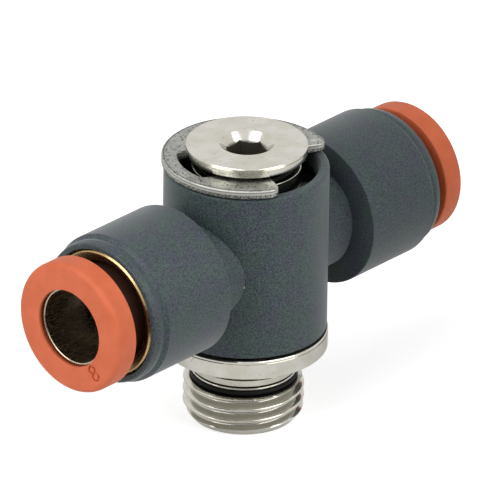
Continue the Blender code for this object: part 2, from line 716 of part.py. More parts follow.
def make_bush(parts, side, word, brass):
    """The ring in the port's mouth, whose inner cone closes the claws on the tube."""
    outline = [
        (BUSH_R - BUSH_EDGE, BUSH_END),
        (BUSH_R, BUSH_END - BUSH_EDGE),
        (BUSH_R, BUSH_START),
        (BUSH_MOUTH_R, BUSH_START),
        (BUSH_MOUTH_R, BUSH_CONE_START),
        (THROAT_R, THROAT_START),
        (THROAT_R, THROAT_END),
        (BUSH_MOUTH_R, THROAT_END + FLARE_LENGTH),
        (BUSH_MOUTH_R, BUSH_END),
    ]
    bush = turned(f"{word}_cartridge_bush", outline, parts, brass, RING_FACETS)
    along_port(bush, side)


def pushed(outline, depth):
    """A profile moved inward by the depth that its collet is pushed in."""
    return [(radius, place - depth) for radius, place in outline]


def make_release_ring(parts, side, word, orange, pushed_in):
    edge = COLLET_EDGE_ROUND
    outline = [
        *arc((COLLET_HEAD_R - edge, COLLET_FACE - edge), edge, 90.0, 0.0, 3),
        (COLLET_HEAD_R, COLLET_HEAD_START),
        (SHOULDER_R, COLLET_HEAD_START - COLLET_HEAD_R + SHOULDER_R),
        (SHOULDER_R, SHOULDER_START),
        (SHANK_R, SHOULDER_START),
        (SHANK_R, SHANK_START),
        (COLLET_BORE_R, SHANK_START),
        (COLLET_BORE_R, COLLET_FACE - COLLET_MOUTH_LIP),
        (TUBE_HOLE_R, COLLET_FACE - COLLET_MOUTH_LIP),
        (TUBE_HOLE_R, COLLET_FACE),
    ]
    placed = pushed(outline, pushed_in)
    ring = turned(f"{word}_release_ring", placed, parts, orange, RING_FACETS)
    along_port(ring, side)


def make_grip_sleeve(parts, cutters, side, word, steel, pushed_in):
    """A thin tube whose inner end is slit into claws with thick conical heads."""
    front = COLLET_FACE - SLEEVE_RECESS
    waist_r = CLAW_R - CLAW_CONE_LENGTH
    outline = [
        (SLEEVE_R, front),
        (SLEEVE_R, CLAW_CONE_END + SLIP_GAP),
        (waist_r, CLAW_CONE_END),
        (CLAW_R, CLAW_END),
        (CLAW_R, CLAW_START),
        (TUBE_HOLE_R, CLAW_START),
        (TUBE_HOLE_R, front),
    ]
    placed = pushed(outline, pushed_in)
    sleeve = turned(f"{word}_grip_sleeve", placed, parts, steel, SEAL_FACETS)
    along_port(sleeve, side)
    size = (CLAW_SLOT_LENGTH + BEYOND, 3 * CLAW_R, CLAW_SLOT_WIDTH)
    middle = CLAW_START + (CLAW_SLOT_LENGTH - BEYOND) / 2 - pushed_in
    for index in range(CLAW_SLOT_PAIRS):
        turn = (math.radians(180.0 * (index + 0.5) / CLAW_SLOT_PAIRS), 0.0, 0.0)
        at = (side * middle, 0.0, PORT_AXIS_Z)
        slit = box(f"{word}_slit_form_{index}", cutters, size, at, turn)
        combine(sleeve, slit, "DIFFERENCE")


# ---------------------------------------------------------------- whole valve

def main():
    clear_scene()
    parts = new_collection("banjo_flow_control_valve")
    cutters = new_collection("forms")
    plated = principled("nickel_plated_brass", (0.62, 0.6, 0.55), 0.22, 1.0)
    spring = principled("spring_steel", (0.55, 0.54, 0.5), 0.3, 1.0)
    brass = principled("brass", (0.62, 0.42, 0.16), 0.25, 1.0)
    steel = principled("stainless_steel", (0.6, 0.55, 0.46), 0.3, 1.0)
    polymer = principled("moulded_polymer", (0.07, 0.085, 0.1), 0.6)
    orange = principled("orange_polymer", (0.74, 0.17, 0.08), 0.5)
    acetal = principled("white_acetal", (0.75, 0.75, 0.72), 0.5)
    rubber = principled("nitrile_rubber", (0.01, 0.01, 0.01), 0.6)

    make_stem(parts, cutters, plated)
    make_stem_seals(parts, rubber)
    make_thread_seal(parts, rubber)
    make_check_seal(parts, rubber)
    make_clip(parts, spring)
    make_metering_seat(parts, brass)
    make_needle_bush(parts, brass)
    make_needle(parts, cutters, brass, rubber)
    make_body(parts, cutters, polymer)
    for side, word, pushed_in in ((-1, "left", 0.0), (1, "right", RIGHT_COLLET_PUSHED_IN)):
        make_tube_seal(parts, side, word, rubber)
        make_support_ring(parts, side, word, acetal)
        make_bush(parts, side, word, brass)
        make_release_ring(parts, side, word, orange, pushed_in)
        make_grip_sleeve(parts, cutters, side, word, steel, pushed_in)
    settle(parts)


main()
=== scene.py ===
"""Looks of the swivel banjo flow control valve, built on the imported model.

Sizes below are in millimetres and angles in degrees, unless a comment says
otherwise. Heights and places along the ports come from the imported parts' boxes;
radii and small details are named here once.
"""

import math

import bmesh
import bpy
from mathutils import Matrix, Vector


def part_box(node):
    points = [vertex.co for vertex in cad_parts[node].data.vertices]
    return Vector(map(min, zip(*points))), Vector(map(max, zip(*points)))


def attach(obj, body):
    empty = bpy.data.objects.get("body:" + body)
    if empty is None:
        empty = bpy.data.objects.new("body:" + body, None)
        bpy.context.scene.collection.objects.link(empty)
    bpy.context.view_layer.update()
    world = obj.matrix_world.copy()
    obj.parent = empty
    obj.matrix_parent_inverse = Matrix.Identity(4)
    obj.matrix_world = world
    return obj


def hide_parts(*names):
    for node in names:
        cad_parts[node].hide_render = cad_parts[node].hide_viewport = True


MM = 0.001

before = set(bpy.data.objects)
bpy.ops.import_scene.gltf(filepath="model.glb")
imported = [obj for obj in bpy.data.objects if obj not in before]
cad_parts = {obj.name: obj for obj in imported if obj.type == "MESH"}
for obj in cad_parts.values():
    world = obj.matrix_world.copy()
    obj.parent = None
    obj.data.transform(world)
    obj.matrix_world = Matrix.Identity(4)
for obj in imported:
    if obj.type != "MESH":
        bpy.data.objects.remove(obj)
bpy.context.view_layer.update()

# ---------------------------------------- sizes

SEGMENTS = 128
FINE_SEGMENTS = 96
SMALL_SEGMENTS = 64
DRILL_SEGMENTS = 32
SECTION_STEPS = 20      # round an O-ring's section
ROUND_STEPS = 4
FINE_ROUND_STEPS = 6
ROUND_SHARE = 0.45      # of a side, the most that one rounding takes
SHARP_ANGLE = 33.0
SLIVER = 0.0005         # shorter edges are closed up
BEYOND = 1.0            # how far a cutting form runs past what it cuts
TINY = 1e-7             # metres, between points that are one
FLUSH = 1e-6            # metres, off a plane in which a point lies

# G 1/4 thread, right-handed, Whitworth form
THREAD_PITCH = 1.337
THREAD_DEPTH = 0.856
THREAD_ROUND = 0.184
THREAD_HALF_ANGLE = 27.5
THREAD_R = 6.5785
THREAD_START_TURN = 222.0   # the side on which a crest is at THREAD_CREST_Z
THREAD_CREST_Z = 1.9
THREAD_TURNS = 7
THREAD_TURNS_BELOW = 3      # before the crest at THREAD_CREST_Z
THREAD_ROUND_STEPS = 3
THREAD_FLANK_STEPS = 5
THREAD_END_R = 5.75
THREAD_LEAD_IN = 1.1
THREAD_RUN_OUT = 0.1
THREAD_TOP_R = 6.3

# Stem
SEAL_END_GAP = 0.03
SEAL_PLAY = 0.2
SEAL_CROWN = 0.95       # share of the thread seal's half height that is rounded
SEAL_ROUND_STEPS = 8
GROOVE_R = 4.9985
NECK_R = 5.7485
NECK_LINE_R = 4.9
NECK_LINE_Z = (5.58, 5.8)
NECK_TOP_LINE_Z = (6.47, 6.75)
FLANGE_HEIGHT = 1.8
FLANGE_CHAMFER = 0.1
FLANGE_UNDER_CHAMFER = 0.1
FLANGE_RIM = 0.35
FLANGE_LINE_DROP = 0.27
LINE_WIDTH = 0.12
LINE_DEPTH = 0.1
FLANGE_R = 9.08
BODY_LIFT = 0.7         # body's foot above the flange
JOURNAL_R = 7.5
JOURNAL_HEIGHT = 3.1
ORING_GROOVE_R = 6.1
ORING_GROOVE_HALF = 0.82
WAIST_R = 5.2
COLLAR_R = 6.1
COLLAR_HEIGHT = 0.35
COLLAR_GAP = 0.2
LAND_R = 5.93
LAND_GAP = 0.2
LAND_HEIGHT = 1.6
CLIP_NECK_R = 5.2
SEAT_GAP = 0.25
HEAD_R = 6.6
HEAD_CHAMFER = 0.1
HEAD_LINE_DROP = 0.14
HEAD_LINE_WIDTH = 1.3 * LINE_WIDTH
HEX_ACROSS_FLATS = 4.0
HEX_DEPTH = 4.0
HEX_MOUTH_R = 3.0
HEX_TURN = 2.0
STEM_BORE_R = 3.6
STEM_BORE_CHAMFER = 0.3
STEM_BORE_DROP = 5.8
DRIVER_HOLE_R = 1.5
METERED_HOLE_R = 1.25
METERED_HOLES = 4
METERED_HOLE_DROP = 0.8
FREE_FLOW_HOLE_R = 0.75
FREE_FLOW_HOLES = 6
FREE_FLOW_RISE = 0.85
HOLE_TURN = 45.0
CHECK_LIP = 0.45

# Body
BODY_R = 8.95
BODY_BORE_R = 7.8
BODY_RIM_ROUND = 0.3
BODY_FOOT_ROUND = 0.08
BODY_BORE_CHAMFER = 0.2
PORT_R = 8.38
PORT_END_R = 7.85
# each step: back from the mouth, in from PORT_R, rounding
PORT_TAPER = ((1.8, 0.0, 0.15), (1.35, 0.42, 0.2), (0.8, 0.34, 0.3))
PORT_LENGTH = 11.5
PORT_NECK_R = 6.0
PORT_GROOVE_R = 5.2
PORT_GROOVE_WIDTH = 1.0
PORT_START_ROUND = 0.12
PORT_EDGE_ROUND = 0.3
CARTRIDGE_BORE_R = 7.27
PORT_BORE_CHAMFER = 0.06
GLAND_R = 6.6
TUBE_GUIDE_R = 4.15
TUBE_STOP = 8.8
PASSAGE_R = 2.9

# Clip
CLIP_R = 9.19
CLIP_LOBE_R = 5.45
CLIP_WINDOW_R = 7.5
CLIP_TURN = 108.5
CLIP_BACK_HALF = 19.0
CLIP_WINDOW_END = 79.5
CLIP_WINDOW_EASE = 14.0
CLIP_ARM_END = 138.0
CLIP_CORNER = 1.1
CLIP_TIP = 0.35
CLIP_EDGE = 0.16
CLIP_EDGE_STEPS = 3
CLIP_CORNER_STEPS = 8
CLIP_OUTER_STEPS = 48
CLIP_INNER_STEPS = 72
DIMPLE_AT = (7.46, -2.95)
DIMPLE_R = 0.55
DIMPLE_DEPTH = 0.14
DIMPLE_FINENESS = 4

# Push-in cartridges
TUBE_SEAL_GAP = 0.05
TUBE_SEAL_LIP_HALF = 0.2
SUPPORT_HOLE_GAP = 0.2
BUSH_R = 7.15
BUSH_MOUTH_R = 6.5
BUSH_CREST_R = (6.93, 6.8)  # outer and inner side of the foremost edge
BUSH_LIP_R = 5.75
BUSH_LIP_LENGTH = 0.9
BUSH_CONE_LENGTH = 0.7
BUSH_OUTER_CONE = 0.2
BUSH_FORWARD = 0.2
THROAT_R = 5.9
THROAT_LENGTH = 0.8
THROAT_BACK = 3.0
FLARE_LENGTH = 0.4
COLLET_HEAD_R = 7.37
COLLET_HEAD_LENGTH = 2.75
COLLET_EDGE_ROUND = 0.65
COLLET_LIP = 0.35
COLLET_LIP_R = 4.34
COLLET_BORE_R = 4.7
SHANK_R = 5.58
SHANK_NECK_R = 5.3
SHANK_NECK_BACK = 6.4
SHANK_CONE = 0.3
SLEEVE_R = 4.5
TUBE_HOLE_R = 4.1
CLAW_R = 6.3
CLAW_LENGTH = 0.8
CLAW_CONE = 0.9
CLAW_SLOT_WIDTH = 0.8
CLAW_SLOT_LENGTH = 3.0
CLAW_SLOT_PAIRS = 3
CLAW_ROUND = 0.2
SIZE_MARK = "8"
SIZE_MARK_HEIGHT = 1.95
SIZE_MARK_FONT = 1.4        # the font's size for a figure's height
SIZE_MARK_DEPTH = 0.2
SIZE_MARK_R = 5.6
SIZE_MARK_TURN = -47.2

# Needle set
INSERT_R = 3.4
ORIFICE_R = 1.3
SEAT_ENTRY_R = 2.4
SEAT_THROAT = 0.8
NEEDLE_R = 1.75
NEEDLE_BORE_R = 2.0
NEEDLE_POINT_R = 1.15
NEEDLE_TIP_R = 0.45
NEEDLE_POINT_LENGTH = 1.9
NEEDLE_STEP = 3.2
NEEDLE_SLOT = (0.6, 0.8)    # width, depth
NEEDLE_SEAL_SECTION = 0.5
NEEDLE_GROOVE_HALF = 0.35
NEEDLE_GROOVE_DEPTH = 0.6
NEEDLE_BUSH_CONE = 0.3

# Where a material changes, much of it painted shade and painted highlight: each pair runs from
# its first trace to its full strength
THREAD_SHADE_R = (6.4, 6.1)
THREAD_SHADE_EASE = 0.1
SOCKET_SHADE_R = (2.45, 2.3)
SOCKET_SHADE_DROP = 0.95
SOCKET_SHADE_EASE = 0.25
# painted shade in the well between the clip and the body
WELL_SHADE_DEPTH = 6.0
WELL_SHADE_EASE = 0.1
WELL_SHADE_R = (4.8, 5.0)
LAND_EDGE_IN = (0.14, 0.12)     # inward from LAND_R
LAND_EDGE_OUT = (0.02, 0.01)    # outward from it
# painted dark line round the clip top's outer edge
CLIP_RIM_SHADE_IN = (0.28, 0.2)      # inward from CLIP_R
CLIP_RIM_SHADE_EASE = 0.05
# the clip's side painted lighter than its top, a painted highlight
CLIP_SIDE_HIGHLIGHT_DROP = (0.02, 0.12)
# painted dark line on the clip's side, just under its top edge
CLIP_EDGE_SHADE_DROP = (0.1, 0.04)
CLIP_EDGE_SHADE_EASE = 0.04
CLIP_SHEAR = (0.02, -0.06)      # from the middle of the clip's side
SHANK_SHADE_X = (24.3, 23.9)


def low(node):
    """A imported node's lowest corner, in millimetres."""
    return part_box(node)[0] / MM


def high(node):
    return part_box(node)[1] / MM


def heights(node):
    """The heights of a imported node's bottom, middle and top."""
    bottom, top = low(node).z, high(node).z
    return bottom, (top + bottom) / 2, top


def outer_radius(ring):
    return (high(ring).x - low(ring).x) / 2


HEAD_TOP = high("stem").z
BODY_TOP = high("banjo_body").z
BODY_BOTTOM = low("banjo_body").z
PORT_END = high("banjo_body").x
AXIS_Z = heights("left_release_ring")[1]
FLANGE_TOP = BODY_BOTTOM - BODY_LIFT
FLANGE_BOTTOM = FLANGE_TOP - FLANGE_HEIGHT
THREAD_TOP = low("thread_seal").z - SEAL_END_GAP
GROOVE_TOP = high("thread_seal").z + SEAL_END_GAP
COLLET_PLAY = -low("left_release_ring").x - high("right_release_ring").x

# ---------------------------------------- mesh tools


def soften(points, closed=True, steps=ROUND_STEPS):
    """Round the corners of an outline of (radius, height, rounding) points."""
    outline = []
    last = len(points) - 1
    for index, (radius, height, size) in enumerate(points):
        here = Vector((radius, height))
        if size <= 0.0 or (not closed and index in (0, last)):
            outline.append((radius, height))
            continue
        back = Vector(points[index - 1][:2]) - here
        ahead = Vector(points[(index + 1) % len(points)][:2]) - here
        half = back.angle(ahead) / 2
        most = ROUND_SHARE * min(back.length, ahead.length)
        reach = min(size / math.tan(half), most)
        back.normalize()
        ahead.normalize()
        bend = reach * math.tan(half)
        centre = here + (back + ahead).normalized() * bend / math.sin(half)
        start = here + back * reach - centre
        end = here + ahead * reach - centre
        first = math.atan2(start.y, start.x)
        sweep = (math.atan2(end.y, end.x) - first + math.pi) % (2 * math.pi) - math.pi
        for step in range(steps + 1):
            angle = first + sweep * step / steps
            outline.append((centre.x + bend * math.cos(angle),
                            centre.y + bend * math.sin(angle)))
    return outline


def add_object(name, data):
    made = bpy.data.objects.new(name, data)
    bpy.context.scene.collection.objects.link(made)
    return made


def finish_mesh(shape, name):
    mesh = bpy.data.meshes.new(name)
    shape.to_mesh(mesh)
    shape.free()
    return add_object(name, mesh)


def lathe(name, points, closed=True, segments=SEGMENTS, steps=ROUND_STEPS):
    """A solid turned about Z. The points run down its outer side."""
    shape = bmesh.new()
    rings = []
    for radius, height in soften(points, closed, steps):
        count = segments if radius > 0.0 else 1
        ring = []
        for index in range(count):
            turn = 2 * math.pi * index / segments
            place = Vector((radius * math.cos(turn), radius * math.sin(turn), height))
            ring.append(shape.verts.new(place * MM))
        rings.append(ring)
    pairs = list(zip(rings, rings[1:]))
    if closed:
        pairs.append((rings[-1], rings[0]))
    for upper, lower in pairs:
        for here in range(segments):
            there = (here + 1) % segments
            corners = []
            around = ((upper, here), (lower, here), (lower, there), (upper, there))
            for ring, index in around:
                corner = ring[index % len(ring)]
                if corner not in corners:
                    corners.append(corner)
            if len(corners) > 2:
                shape.faces.new(corners)
    return finish_mesh(shape, name)


def rod(name, sides, radius, length, matrix):
    """A prism or drill about its own Z axis, centred, then placed."""
    shape = bmesh.new()
    bmesh.ops.create_cone(shape, cap_ends=True, segments=sides, radius1=radius * MM,
                          radius2=radius * MM, depth=length * MM)
    shape.transform(matrix)
    return finish_mesh(shape, name)


def block(name, size, matrix):
    shape = bmesh.new()
    matrix = matrix @ Matrix.Diagonal(Vector(size) * MM).to_4x4()
    bmesh.ops.create_cube(shape, size=1.0, matrix=matrix)
    return finish_mesh(shape, name)


def shift(x, y, z):
    return Matrix.Translation(Vector((x, y, z)) * MM)


def spin(angle, axis="Z"):
    return Matrix.Rotation(math.radians(angle), 4, axis)


def port_matrix(side):
    """Lay a turned piece along the left (-1) or right (+1) port, its axis outward."""
    return shift(0, 0, AXIS_Z) @ spin(90.0 * side, "Y")


def evaluated(piece):
    """Apply a piece's modifiers to its mesh."""
    graph = bpy.context.evaluated_depsgraph_get()
    mesh = bpy.data.meshes.new_from_object(piece.evaluated_get(graph))
    mesh.name = piece.name
    piece.modifiers.clear()
    piece.data = mesh


def combine(piece, tool, operation="DIFFERENCE"):
    """Cut a tool away from a piece, or join it, and drop the tool."""
    boolean = piece.modifiers.new(operation, "BOOLEAN")
    boolean.operation = operation
    boolean.solver = "EXACT"
    boolean.object = tool
    evaluated(piece)
    bpy.data.objects.remove(tool, do_unlink=True)


def dress(piece, slot, body, node):
    """Smooth a finished piece, give it its slot's material and let it stand for its node."""
    mesh = piece.data
    shape = bmesh.new()
    shape.from_mesh(mesh)
    bmesh.ops.remove_doubles(shape, verts=shape.verts, dist=SLIVER * MM)
    shape.to_mesh(mesh)
    shape.free()
    mesh.materials.clear()
    mesh.materials.append(MATERIALS[slot])
    mesh.shade_smooth()
    mesh.set_sharp_from_angle(angle=math.radians(SHARP_ANGLE))
    weighted = piece.modifiers.new("Even shading", "WEIGHTED_NORMAL")
    weighted.keep_sharp = True
    evaluated(piece)
    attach(piece, body)
    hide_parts(node)


# ---------------------------------------- node tools

def plug(tree, value, socket):
    """Link an output to an input, or set the input's value."""
    if isinstance(value, bpy.types.NodeSocket):
        tree.links.new(value, socket)
    else:
        socket.default_value = value


def calculate(tree, operation, *values):
    made = tree.nodes.new("ShaderNodeMath")
    made.operation = operation
    for index, value in enumerate(values):
        plug(tree, value, made.inputs[index])
    return made.outputs[0]


class Finish:
    """A procedural material: helpers that chain nodes into its one shader."""

    def __init__(self, name, metallic, specular=0.5):
        self.material = bpy.data.materials.new(name)
        self.material.use_nodes = True
        self.tree = self.material.node_tree
        self.shader = self.tree.nodes["Principled BSDF"]
        self.shader.inputs["Metallic"].default_value = metallic
        self.shader.inputs["Specular IOR Level"].default_value = specular
        self.place = self.node("ShaderNodeTexCoord").outputs["Object"]

    def node(self, kind, **settings):
        made = self.tree.nodes.new(kind)
        for name, value in settings.items():
            setattr(made, name, value)
        return made

    def plug(self, value, socket):
        plug(self.tree, value, socket)

    def noise(self, size, detail=2.0, rough=0.5, place=None):
        """Noise whose features are about size millimetres."""
        made = self.node("ShaderNodeTexNoise")
        self.plug(place or self.place, made.inputs["Vector"])
        made.inputs["Scale"].default_value = 1.0 / (size * MM)
        made.inputs["Detail"].default_value = detail
        made.inputs["Roughness"].default_value = rough
        return made.outputs["Fac"]

    def cells(self, size):
        made = self.node("ShaderNodeTexVoronoi", feature="F1")
        self.plug(self.place, made.inputs["Vector"])
        made.inputs["Scale"].default_value = 1.0 / (size * MM)
        return made

    def math(self, operation, *values):
        return calculate(self.tree, operation, *values)

    def times(self, first, second):
        return self.math("MULTIPLY", first, second)

    def between(self, value, start, end, low_value=0.0, high_value=1.0):
        """Map a value's range onto another, clamped."""
        made = self.node("ShaderNodeMapRange")
        self.plug(value, made.inputs["Value"])
        for name, number in (("From Min", start), ("From Max", end),
                             ("To Min", low_value), ("To Max", high_value)):
            self.plug(number, made.inputs[name])
        return made.outputs[0]

    def near(self, value, pair):
        """0 at the first of two places in millimetres, 1 at the second."""
        return self.between(value, pair[0] * MM, pair[1] * MM)

    def blend(self, share, first, second):
        """A colour between two, by share."""
        made = self.node("ShaderNodeMix", data_type="RGBA")
        self.plug(share, made.inputs[0])
        for value, socket in ((first, made.inputs[6]), (second, made.inputs[7])):
            self.plug((*value, 1.0) if isinstance(value, tuple) else value, socket)
        return made.outputs[2]

    def parts(self):
        """The X, Y and Z of the place on the object."""
        made = self.node("ShaderNodeSeparateXYZ")
        self.plug(self.place, made.inputs[0])
        return made.outputs

    def distance(self, first, second):
        """How far the place is from the third axis."""
        squares = self.math("ADD", self.math("POWER", first, 2.0),
                            self.math("POWER", second, 2.0))
        return self.math("SQRT", squares)

    def within(self, value, bottom, top, ease):
        """1 between two heights in millimetres, falling to 0 over ease beyond them."""
        above = self.between(value, (bottom - ease) * MM, bottom * MM)
        below = self.between(value, (top + ease) * MM, top * MM)
        return self.times(above, below)

    def outside_land(self, away):
        """0 on the land's thin upper edge, 1 round it; the well's painted shade stays off that
        edge.
        """
        inner = self.between(away, *((LAND_R - inward) * MM for inward in LAND_EDGE_IN))
        outer = self.between(away, *((LAND_R + outward) * MM for outward in LAND_EDGE_OUT))
        return self.math("SUBTRACT", 1.0, self.times(inner, outer))

    def colour(self, value):
        self.plug(value, self.shader.inputs["Base Color"])

    def roughness(self, value):
        self.plug(value, self.shader.inputs["Roughness"])

    def dull(self, grain, smooth, rough):
        """Roughness between two values, following a grain."""
        self.roughness(self.between(grain, 0.3, 0.7, smooth, rough))

    def bump(self, height, depth, strength=1.0):
        """Raise the surface by up to depth millimetres."""
        made = self.node("ShaderNodeBump")
        made.inputs["Strength"].default_value = strength
        made.inputs["Distance"].default_value = depth * MM
        self.plug(height, made.inputs["Height"])
        self.plug(made.outputs[0], self.shader.inputs["Normal"])


# ---------------------------------------- materials

# Linear colours; where there are two, a noise runs between them
NICKEL_TONES = ((0.55, 0.53, 0.455), (0.63, 0.615, 0.56))
NICKEL_PIT = (0.28, 0.26, 0.21)
# painted shade: the thread's flanks and roots
THREAD_ROOT_SHADE = (0.50, 0.485, 0.43)
# painted shade: the hex socket's walls
SOCKET_SHADE_TONE = (0.05, 0.045, 0.035)
# painted shade: the well below the clip
WELL_SHADE_TONE = (0.03, 0.03, 0.028)
SPRING_TONES = ((0.29, 0.295, 0.275), (0.42, 0.42, 0.39))
SPRING_SPECK = (0.10, 0.095, 0.085)
# painted shade: a dark line round the clip top's outer edge
SPRING_RIM_SHADE = (0.07, 0.07, 0.06)
# painted highlight: the clip's side
SPRING_SIDE_HIGHLIGHT = (0.52, 0.52, 0.48)
# painted shade: a dark line under the clip's top edge
SPRING_EDGE_SHADE = (0.10, 0.10, 0.09)
SPRING_BREAK = (0.09, 0.09, 0.08)
BRASS_TONES = ((0.34, 0.22, 0.10), (0.66, 0.49, 0.25))
STEEL_TONES = ((0.44, 0.365, 0.27), (0.62, 0.52, 0.38))
SLATE_DARK = ((0.022, 0.027, 0.041), (0.019, 0.034, 0.031))
SLATE_LIGHT = ((0.078, 0.096, 0.113), (0.074, 0.110, 0.105))
SLATE_FLECK = (0.5, 0.54, 0.54)
ORANGE_TONES = ((0.66, 0.142, 0.054), (0.74, 0.168, 0.074))
# painted shade: the shank inside the port
ORANGE_SHANK_SHADE = (0.035, 0.014, 0.009)
ACETAL_TONES = ((0.70, 0.69, 0.64), (0.80, 0.79, 0.75))
RUBBER_TONES = ((0.003, 0.003, 0.003), (0.008, 0.008, 0.008))


def make_nickel():
    """Nickel plating over turned brass: faint peel, fine pits, and painted shade in the
    thread's roots, the hex socket and the well.
    """
    finish = Finish("nickel_plating", 1.0)
    x, y, z = finish.parts()
    away = finish.distance(x, y)
    broad = finish.noise(2.2, 3.0)
    fine = finish.noise(0.2, 3.0, 0.6)
    tone = finish.blend(finish.between(broad, 0.35, 0.65), *NICKEL_TONES)
    pits = finish.between(finish.noise(0.42, 4.0, 0.65), 0.36, 0.31)
    tone = finish.blend(pits, tone, NICKEL_PIT)
    # Painted shade: the thread darker towards its roots, below the thread's top.
    below = finish.between(z, (THREAD_TOP + THREAD_SHADE_EASE) * MM, THREAD_TOP * MM)
    root = finish.times(finish.near(away, THREAD_SHADE_R), below)
    tone = finish.blend(root, tone, THREAD_ROOT_SHADE)
    # Painted shade: the hex socket dark below its mouth.
    socket = finish.within(z, HEAD_TOP - HEX_DEPTH - BEYOND, HEAD_TOP - SOCKET_SHADE_DROP,
                           SOCKET_SHADE_EASE)
    socket = finish.times(socket, finish.near(away, SOCKET_SHADE_R))
    # Painted shade: the stem dark in the well below the clip, kept off the land's upper edge.
    well_shade = finish.within(z, BODY_TOP - WELL_SHADE_DEPTH, high("retaining_clip").z + SEAT_GAP / 2,
                         WELL_SHADE_EASE)
    well_shade = finish.times(well_shade, finish.outside_land(away))
    well_shade = finish.times(well_shade, finish.near(away, WELL_SHADE_R))
    # Lay on the socket's painted shade, dark and less metallic.
    tone = finish.blend(socket, tone, SOCKET_SHADE_TONE)
    finish.plug(finish.math("SUBTRACT", 1.0, socket), finish.shader.inputs["Metallic"])
    finish.colour(finish.blend(well_shade, tone, WELL_SHADE_TONE))
    finish.dull(fine, 0.07, 0.2)
    finish.bump(fine, 0.006, 0.6)
    return finish.material


def make_spring():
    """Stamped, plated spring steel: speckled top with a painted dark line round it, a side
    painted lighter as a highlight with a painted dark line under its top edge, and a torn
    lower half.
    """
    finish = Finish("stamped_spring_steel", 1.0)
    x, y, z = finish.parts()
    fine = finish.noise(0.17, 4.0, 0.7)
    specks = finish.between(finish.noise(0.34, 4.0, 0.7), 0.45, 0.40)
    tone = finish.blend(finish.between(finish.noise(1.5, 3.0, 0.6), 0.35, 0.65), *SPRING_TONES)
    tone = finish.blend(specks, tone, SPRING_SPECK)
    _, middle, top = heights("retaining_clip")
    # Painted shade: a dark line round the top's outer edge.
    line_start, line_end = (CLIP_R - inward for inward in CLIP_RIM_SHADE_IN)
    line = finish.within(finish.distance(x, y), line_start, line_end, CLIP_RIM_SHADE_EASE)
    tone = finish.blend(finish.times(line, 0.85), tone, SPRING_RIM_SHADE)
    sheared = finish.near(z, [middle + rise for rise in CLIP_SHEAR])
    broken = finish.times(sheared, finish.between(fine, 0.42, 0.55))
    # Painted highlight: the side lighter than the top, and rougher.
    side = finish.near(z, [top - drop for drop in CLIP_SIDE_HIGHLIGHT_DROP])
    tone = finish.blend(side, tone, SPRING_SIDE_HIGHLIGHT)
    # Painted shade: a dark line on the side just under the top's rounded edge.
    edge_shade_start, edge_shade_end = (top - CLIP_EDGE - drop for drop in CLIP_EDGE_SHADE_DROP)
    edge_shade = finish.within(z, edge_shade_start, edge_shade_end, CLIP_EDGE_SHADE_EASE)
    tone = finish.blend(finish.times(edge_shade, 0.7), tone, SPRING_EDGE_SHADE)
    finish.colour(finish.blend(broken, tone, SPRING_BREAK))
    shine = finish.between(fine, 0.3, 0.7, 0.2, 0.45)
    finish.roughness(finish.math("ADD", shine, finish.times(side, 0.35)))
    finish.bump(fine, 0.02, 0.7)
    return finish.material


def make_brass():
    finish = Finish("turned_brass", 1.0)
    fine = finish.noise(0.2, 3.0, 0.6)
    finish.colour(finish.blend(finish.noise(1.4, 3.0), *BRASS_TONES))
    finish.dull(fine, 0.16, 0.34)
    finish.bump(fine, 0.005, 0.5)
    return finish.material


def make_steel():
    """Drawn stainless tube, dulled to a dark brown by the bore's shadow and oil."""
    finish = Finish("drawn_stainless", 1.0)
    streaks = finish.node("ShaderNodeMapping")
    finish.plug(finish.place, streaks.inputs["Vector"])
    streaks.inputs["Scale"].default_value = (0.18, 1.0, 1.0)
    lines = finish.noise(0.16, 3.0, 0.6, streaks.outputs[0])
    finish.colour(finish.blend(finish.between(lines, 0.35, 0.7), *STEEL_TONES))
    finish.dull(lines, 0.18, 0.34)
    finish.bump(lines, 0.004, 0.5)
    return finish.material


def make_polymer():
    """Glass-filled polymer with a fine spark-eroded grain and a few pale flecks."""
    finish = Finish("slate_polymer", 0.0, 0.35)
    grain = finish.noise(0.17, 3.0, 0.7)
    cast = finish.between(finish.noise(2.4, 3.0, 0.6), 0.42, 0.58)
    dark = finish.blend(cast, *SLATE_DARK)
    light = finish.blend(cast, *SLATE_LIGHT)
    tone = finish.blend(finish.between(grain, 0.4, 0.6), dark, light)
    cells = finish.cells(2.8)
    inside = finish.between(cells.outputs["Distance"], 0.045, 0.03)
    chosen = finish.node("ShaderNodeSeparateColor")
    finish.plug(cells.outputs["Color"], chosen.inputs[0])
    picked = finish.math("GREATER_THAN", chosen.outputs[0], 0.6)
    finish.colour(finish.blend(finish.times(inside, picked), tone, SLATE_FLECK))
    finish.roughness(finish.between(grain, 0.35, 0.65, 0.42, 0.58))
    finish.bump(grain, 0.02, 0.7)
    finish.shader.inputs["Sheen Weight"].default_value = 0.36
    finish.shader.inputs["Sheen Roughness"].default_value = 0.4
    return finish.material


def make_orange():
    """Moulded orange acetal: satin, faint flow marks, and painted shade on the shank inside
    the port.
    """
    finish = Finish("orange_acetal", 0.0, 0.3)
    grain = finish.noise(0.3, 3.0, 0.6)
    flow = finish.between(finish.noise(2.4, 3.0, 0.6), 0.35, 0.68)
    tone = finish.blend(flow, *ORANGE_TONES)
    # Painted shade: the shank between the head and the port near black.
    along = finish.math("ADD", finish.parts()[0], COLLET_PLAY / 2 * MM)
    shank = finish.near(finish.math("ABSOLUTE", along), SHANK_SHADE_X)
    finish.colour(finish.blend(shank, tone, ORANGE_SHANK_SHADE))
    finish.dull(grain, 0.45, 0.6)
    finish.bump(grain, 0.014, 0.5)
    return finish.material


def make_acetal():
    finish = Finish("natural_acetal", 0.0, 0.45)
    grain = finish.noise(0.3, 2.0)
    finish.colour(finish.blend(grain, *ACETAL_TONES))
    finish.dull(grain, 0.35, 0.5)
    finish.bump(grain, 0.006, 0.4)
    return finish.material


